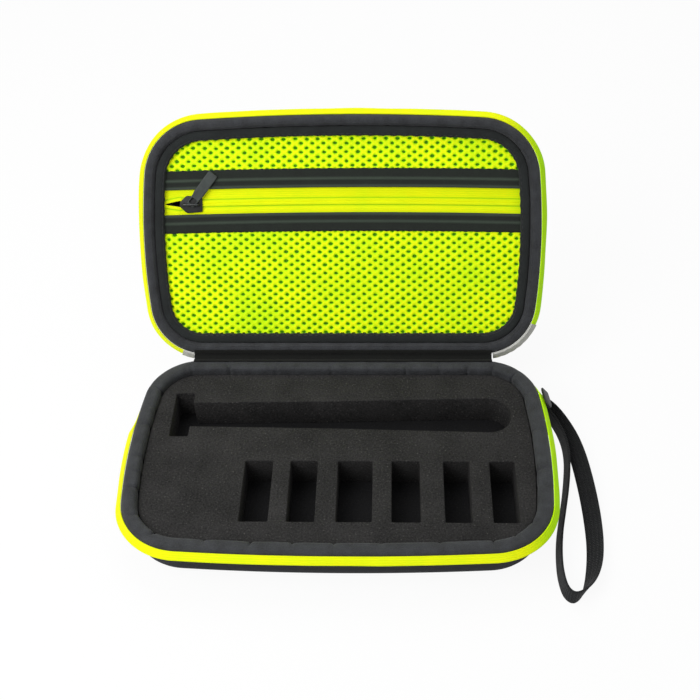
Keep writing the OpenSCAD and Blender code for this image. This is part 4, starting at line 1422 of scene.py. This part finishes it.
def knitted(name, dark, light, rib, rough, sheen, depth):
    cloth = Finish(name)
    place = cloth.strip()
    along, across, _ = cloth.parts(place)
    stitch = across.wave(rib) * 0.6 + (along + across * 0.5).wave(rib * 1.3) * 0.4
    patches = cloth.noise(place, 7, 3.0)
    fuzz = cloth.noise(place, 0.7, 4.0)
    share = (stitch * 0.12 + patches * 0.8 + fuzz * 0.7).between(0.45, 1.05)
    return cloth.surface({"Base Color": cloth.mix(share, dark, light),
                          "Roughness": patches * 0.2 + (rough - 0.1),
                          "Sheen Weight": sheen, "Sheen Roughness": 0.4,
                          "Specular IOR Level": 0.3}, stitch * 0.6 + fuzz * 1.2, depth)


# %% [markdown]
# ## Webbing and edging, and all the cloths
# Webbing has ribs across it and warp threads along it. The edging strips have raised lines, which
# are paler than the rest: painted highlight where the light catches the ridges, with some rub wear.
# Each slot of cloth then gets its finish from one of the four: a dark and a light tone, the size of
# its yarn, how rough it is and how deep its threads stand.

# %% Cloth finishes
def ribbed(name, dark, light, rib, rough, depth):
    cloth = Finish(name)
    place = cloth.strip()
    along, across, _ = cloth.parts(place)
    ribs = along.wave(rib) * (across.wave(rib * 2) * 0.5 + 0.6)
    fuzz = cloth.noise(place, 0.35, 3.0)
    patches = cloth.noise(place, 12)
    share = (ribs * 0.2 + fuzz * 0.4 + patches * 0.4).between(0.2, 0.85)
    return cloth.surface({"Base Color": cloth.mix(share, dark, light),
                          "Roughness": fuzz * 0.15 + (rough - 0.07), "Sheen Weight": 0.06,
                          "Sheen Roughness": 0.5, "Specular IOR Level": 0.2},
                         ribs * 0.8 + fuzz * 0.4, depth)


def edged(name, dark, light, lines, rough, depth):
    """A strip whose raised lines, at places across it in millimetres, are paler: painted highlight and
    rub wear.
    """
    cloth = Finish(name)
    place = cloth.strip()
    along, across, _ = cloth.parts(place)
    yarn = along.wave(0.7) * across.wave(0.7)
    fuzz = cloth.noise(place, 0.6, 4.0)
    patches = cloth.noise(place, 10)
    # Painted highlight along the raised lines, where the light catches them, with some rub wear.
    ridge_sheen_and_wear = 0
    for line in lines:
        ridge_sheen_and_wear = ridge_sheen_and_wear + abs(across - line).between(1.3, 0.1)
    share = (ridge_sheen_and_wear * 0.55 + yarn * 0.1 + fuzz * 0.35 + patches * 0.2).between(0.2, 1.0)
    return cloth.surface({"Base Color": cloth.mix(share, dark, light),
                          "Roughness": patches * 0.14 + (rough - 0.07), "Sheen Weight": 0.06,
                          "Sheen Roughness": 0.5, "Specular IOR Level": 0.25},
                         yarn * 0.6 + fuzz * 0.5, depth)


finishes = {
    "shell_cloth": woven("black_shell_cloth", tone(14, 15, 17), tone(44, 46, 50), yarn=1.1, rough=0.8,
                         sheen=0.06, depth=0.22),
    "lining_cloth": woven("charcoal_lining", tone(18, 18, 19), tone(38, 38, 40), yarn=0.8,
                          rough=0.92, sheen=0.1, depth=0.15, from_map=False),
    "binding_cloth": knitted("stretch_binding", tone(18, 19, 21), tone(62, 64, 68), rib=0.55,
                             rough=0.66, sheen=0.09, depth=0.16),
    "hinge_cloth": woven("black_hinge_cloth", tone(9, 10, 9), tone(26, 27, 25), yarn=0.7, rough=0.88,
                         sheen=0.03, depth=0.15),
    "border_cloth": woven("black_border_cloth", tone(18, 20, 20), tone(48, 52, 52), yarn=0.6,
                          rough=0.8, sheen=0.06, depth=0.14),
    "edging_cloth": edged("black_edging", tone(9, 14, 9), tone(66, 78, 66), lines=(1.0, 5.3),
                          rough=0.7, depth=0.12),
    "webbing": ribbed("black_webbing", tone(8, 9, 10), tone(30, 31, 33), rib=1.1, rough=0.75,
                      depth=0.25),
    "grey_cloth": woven("grey_tape_end", tone(170, 170, 164), tone(232, 232, 226), yarn=0.9,
                        rough=0.85, sheen=0.1, depth=0.14),
}
print(len(finishes), "cloths")

# %% [markdown]
# ## Neon tape and mesh
# Neon dye turns unseen light into visible light, so the cloth looks brighter than any ordinary
# colour. A little emission of the dye's own hue gives that glow without a lamp. The tape is yellow
# along the front and lime down the right side, which is painted shade for the side that faces away
# from the light, and the pocket's tape has a greener painted shade in the two grooves beside its
# coils. On the mesh the depth that was kept on each point drives the colour as painted shade:
# yellow on the crests, lime on the slopes, green in the holes.

# %% Neon finishes
# HOLE_GREEN is painted shade at the bottom of the net's holes, and also the darker tone of the knit
# behind.
YELLOW, LIME, HOLE_GREEN = tone(244, 250, 4), tone(176, 238, 4), tone(64, 122, 6)
GLOW = 0.14


def neon_tape(name, shaded_grooves=()):
    tape = Finish(name)
    place = tape.strip()
    along, across, _ = tape.parts(place)
    twill = (along + across).wave(0.7)
    ribs = across.wave(1.25)
    patches = tape.noise(place, 18)
    # Painted shade: the zip tape turns lime towards the case's right side, from 92 to 112 mm out.
    sideways, _, _ = tape.parts(tape.spot())
    right_side_shade = sideways.between(92, 112)
    share = (twill * 0.06 + ribs * 0.12 + patches * 0.6 - right_side_shade * 0.8 + 0.55).between(0, 1)
    colour = tape.mix(share, LIME, YELLOW)
    # Painted shade: a greener colour along each groove beside the pocket zip's coils.
    for groove in shaded_grooves:
        colour = tape.mix(abs(across - groove).between(0.9, 0.1) * 0.7, colour, tone(140, 208, 4))
    return tape.surface({"Base Color": colour, "Roughness": patches * 0.1 + 0.62,
                         "Emission Color": colour, "Emission Strength": GLOW,
                         "Specular IOR Level": 0.15}, twill * 0.6 + ribs * 0.5, 0.1)


def neon_mesh():
    mesh = Finish("neon_spacer_mesh")
    depth = mesh.node("ShaderNodeAttribute", {"attribute_name": "depth"}, {}).out("Fac")
    spot = mesh.spot()
    fibres = mesh.noise(spot, 0.5, 3.0)
    patches = mesh.noise(spot, 26)
    bare = (patches * 0.5 + fibres * 0.6).between(0.3, 0.65)
    crest = mesh.mix(bare, LIME, YELLOW)
    # Painted shade by depth: lime on the slopes, a deeper green down the walls, darkest green at each
    # hole's bottom.
    slope = mesh.mix(depth.between(0.04, 0.3), crest, tone(190, 240, 4))
    wall = mesh.mix(depth.between(0.4, 0.75), slope, tone(140, 210, 4))
    colour = mesh.mix(depth.between(0.75, 1.05), wall, HOLE_GREEN)
    return mesh.surface({"Base Color": colour, "Roughness": fibres * 0.2 + 0.6,
                         "Emission Color": colour, "Emission Strength": GLOW,
                         "Specular IOR Level": 0.15}, fibres, 0.12)


def hole_backing():
    knit = Finish("neon_backing_knit")
    place = knit.strip()
    along, across, _ = knit.parts(place)
    stitch = along.wave(0.9) * across.wave(0.7)
    share = (stitch * 0.3 + knit.noise(place, 6)).between(0.2, 0.9)
    return knit.surface({"Base Color": knit.mix(share, HOLE_GREEN, tone(110, 180, 0)),
                         "Roughness": 0.8}, stitch, 0.15)


# Where the painted groove shade lies across the pocket tape, in millimetres.
SHADED_GROOVE_ACROSS = 2.2
finishes["neon_tape"] = neon_tape("neon_zip_tape")
pocket_tape_finish = neon_tape("neon_pocket_tape", (SHADED_GROOVE_ACROSS,))
finishes["neon_mesh"] = neon_mesh()
print("neon glows with", GLOW, "of its colour")

# %% [markdown]
# ## Foam
# Closed-cell foam is a dull charcoal with fine cells, and here and there a cut cell catches the
# light as a pale speck. The specks are the rare peaks of a fine noise, and two other noises make the
# pitted bump.

# %% Foam finishes
def foam(name, dark, light, speck):
    block = Finish(name)
    spot = block.spot()
    cells = block.noise(spot, 1.0, 3.0)
    grain = block.noise(spot, 0.45, 2.0)
    patches = block.noise(spot, 22)
    base = block.mix((patches * 0.4 + cells * 0.8 + grain * 0.5).between(0.6, 1.1), dark, light)
    specks = block.noise(spot, 1.0, 1.0).between(0.68, 0.8)
    return block.surface({"Base Color": block.mix(specks * 0.45, base, speck),
                          "Roughness": cells * 0.1 + 0.85, "Specular IOR Level": 0.12},
                         cells * 0.8 + grain * 0.6, 0.45)


finishes["foam"] = foam("tray_foam", tone(22, 22, 22), tone(60, 59, 59), tone(108, 106, 102))
finishes["foam_pad"] = foam("floor_foam", tone(20, 20, 21), tone(32, 32, 33), tone(60, 60, 60))
print("foam in", len(finishes["foam"].node_tree.nodes), "nodes")

# %% [markdown]
# ## Coils, metal and pulls
# The coils are black plastic wire with a soft shine. The sliders are cast metal with black paint,
# the bails are barer and shine more, and the pulls are matt plastic with the faint grain of a mould.

# %% Hard finishes
def hard(name, dark, light, rough, grain, depth, metallic=0.0, shine=0.5):
    """Plastic or metal, with a grain of a size and a depth in millimetres."""
    solid = Finish(name)
    spot = solid.spot()
    patches = solid.noise(spot, 5)
    fine = solid.noise(spot, grain, 3.0)
    return solid.surface({"Base Color": solid.mix(patches.between(0.35, 0.7), dark, light),
                          "Roughness": fine * 0.16 + (rough - 0.08), "Metallic": metallic,
                          "Specular IOR Level": shine}, fine, depth)


finishes["zip_coil"] = hard("nylon_coil", tone(18, 18, 19), tone(30, 30, 32), rough=0.38,
                            grain=0.3, depth=0.02)
finishes["zip_metal"] = hard("painted_slider", tone(10, 11, 12), tone(22, 24, 25), rough=0.5,
                             grain=0.5, depth=0.03, shine=0.3)
finishes["pull_plastic"] = hard("matt_pull", tone(36, 42, 40), tone(50, 57, 54), rough=0.66,
                                grain=0.4, depth=0.05)
bail_finish = hard("polished_bail", tone(34, 36, 36), tone(58, 60, 60), rough=0.3, grain=0.5,
                   depth=0.02, metallic=0.6)
thread_finish = hard("black_thread", tone(20, 20, 22), tone(46, 47, 50), rough=0.6, grain=0.3,
                     depth=0.05)
print(len(finishes), "finishes by slot")

# %% [markdown]
# ## Dressing the pieces
# Every piece now takes the finish of its slot. A few pieces that share a slot look different on the
# real case, so the bails, the threads and the knit behind the mesh get their own.

# %% Dressing
def dress(piece, material):
    piece.data.materials.clear()
    piece.data.materials.append(material)


for slot_name, pieces in by_slot.items():
    for piece in pieces:
        dress(piece, finishes[slot_name])
for piece in bails:
    dress(piece, bail_finish)
for piece in threads:
    dress(piece, thread_finish)
backing_finish = hole_backing()
for side in panels:
    dress(bpy.data.objects[f"pocket_backing_{side}"], backing_finish)
    dress(bpy.data.objects[f"pocket_tape_{side}"], pocket_tape_finish)
node_slots = {"base_lining": "lining_cloth", "lid_lining": "lining_cloth",
              "foam_floor_pad": "foam_pad", "pocket_zip_stops": "zip_metal"}
for node_name, slot_name in node_slots.items():
    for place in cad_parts[node_name].material_slots:
        place.material = finishes[slot_name]
print(sum(len(pieces) for pieces in by_slot.values()), "pieces dressed")

# %% [markdown]
# ## Floor and light
# The photograph is a product picture on white. The floor is pale and takes the case's shadow, and
# the camera sees it mixed with plain white, by the ray's kind alone, so that no extra light falls on
# the case. A large soft lamp stands above and in front on the left, a weaker one shines down from
# behind and brightens the lid's upper edge, and the world gives the rest.

# %% Floor and light
FLOOR_WHITE, PAPER_TONE = 0.93, 0.86
FLOOR_REACH = 3
floor_mesh = bpy.data.meshes.new("floor")
floor_mesh.from_pydata([(x * FLOOR_REACH, y * FLOOR_REACH, 0)
                        for x, y in ((-1, -1), (1, -1), (1, 1), (-1, 1))], [], [(0, 1, 2, 3)])
floor = put_in_scene("floor", floor_mesh)
paper = Finish("white_paper")
matt = paper.node("ShaderNodeBsdfDiffuse", {}, {"Color": (PAPER_TONE,) * 3 + (1,)})
bright = paper.node("ShaderNodeEmission", {}, {"Color": (1, 1, 1, 1), "Strength": 1.0})
paper.node("ShaderNodeOutputMaterial", {}, {"Surface": paper.node(
    "ShaderNodeMixShader", {}, {0: paper.seen() * FLOOR_WHITE, 1: matt, 2: bright})})
dress(floor, paper.material)

world = bpy.data.worlds.new("studio")
bpy.context.scene.world = world
sky = Finish(world)
AMBIENT = 0.4
ambient = sky.node("ShaderNodeBackground", {}, {"Color": (1, 1, 1, 1), "Strength": AMBIENT})
white = sky.node("ShaderNodeBackground", {}, {"Color": (1, 1, 1, 1), "Strength": 1.0})
sky.node("ShaderNodeOutputWorld", {}, {"Surface": sky.node(
    "ShaderNodeMixShader", {}, {0: sky.seen(), 1: ambient, 2: white})})


def soft_lamp(name, place, aim, size, watts):
    data = bpy.data.lights.new(name, "AREA")
    data.size = size
    data.energy = watts
    lamp = bpy.data.objects.new(name, data)
    bpy.context.collection.objects.link(lamp)
    lamp.location = place
    lamp.rotation_euler = (Vector(place) - Vector(aim)).to_track_quat("Z", "Y").to_euler()


AIM = (0, 0.05, 0.04)
soft_lamp("key_lamp", (-0.42, -0.3, 0.62), AIM, size=0.5, watts=4.2)
soft_lamp("top_lamp", (-0.12, 0.42, 0.8), AIM, size=0.6, watts=2.6)
bpy.context.scene.view_settings.view_transform = "Standard"
print("floor, world at", AMBIENT, "and two lamps")
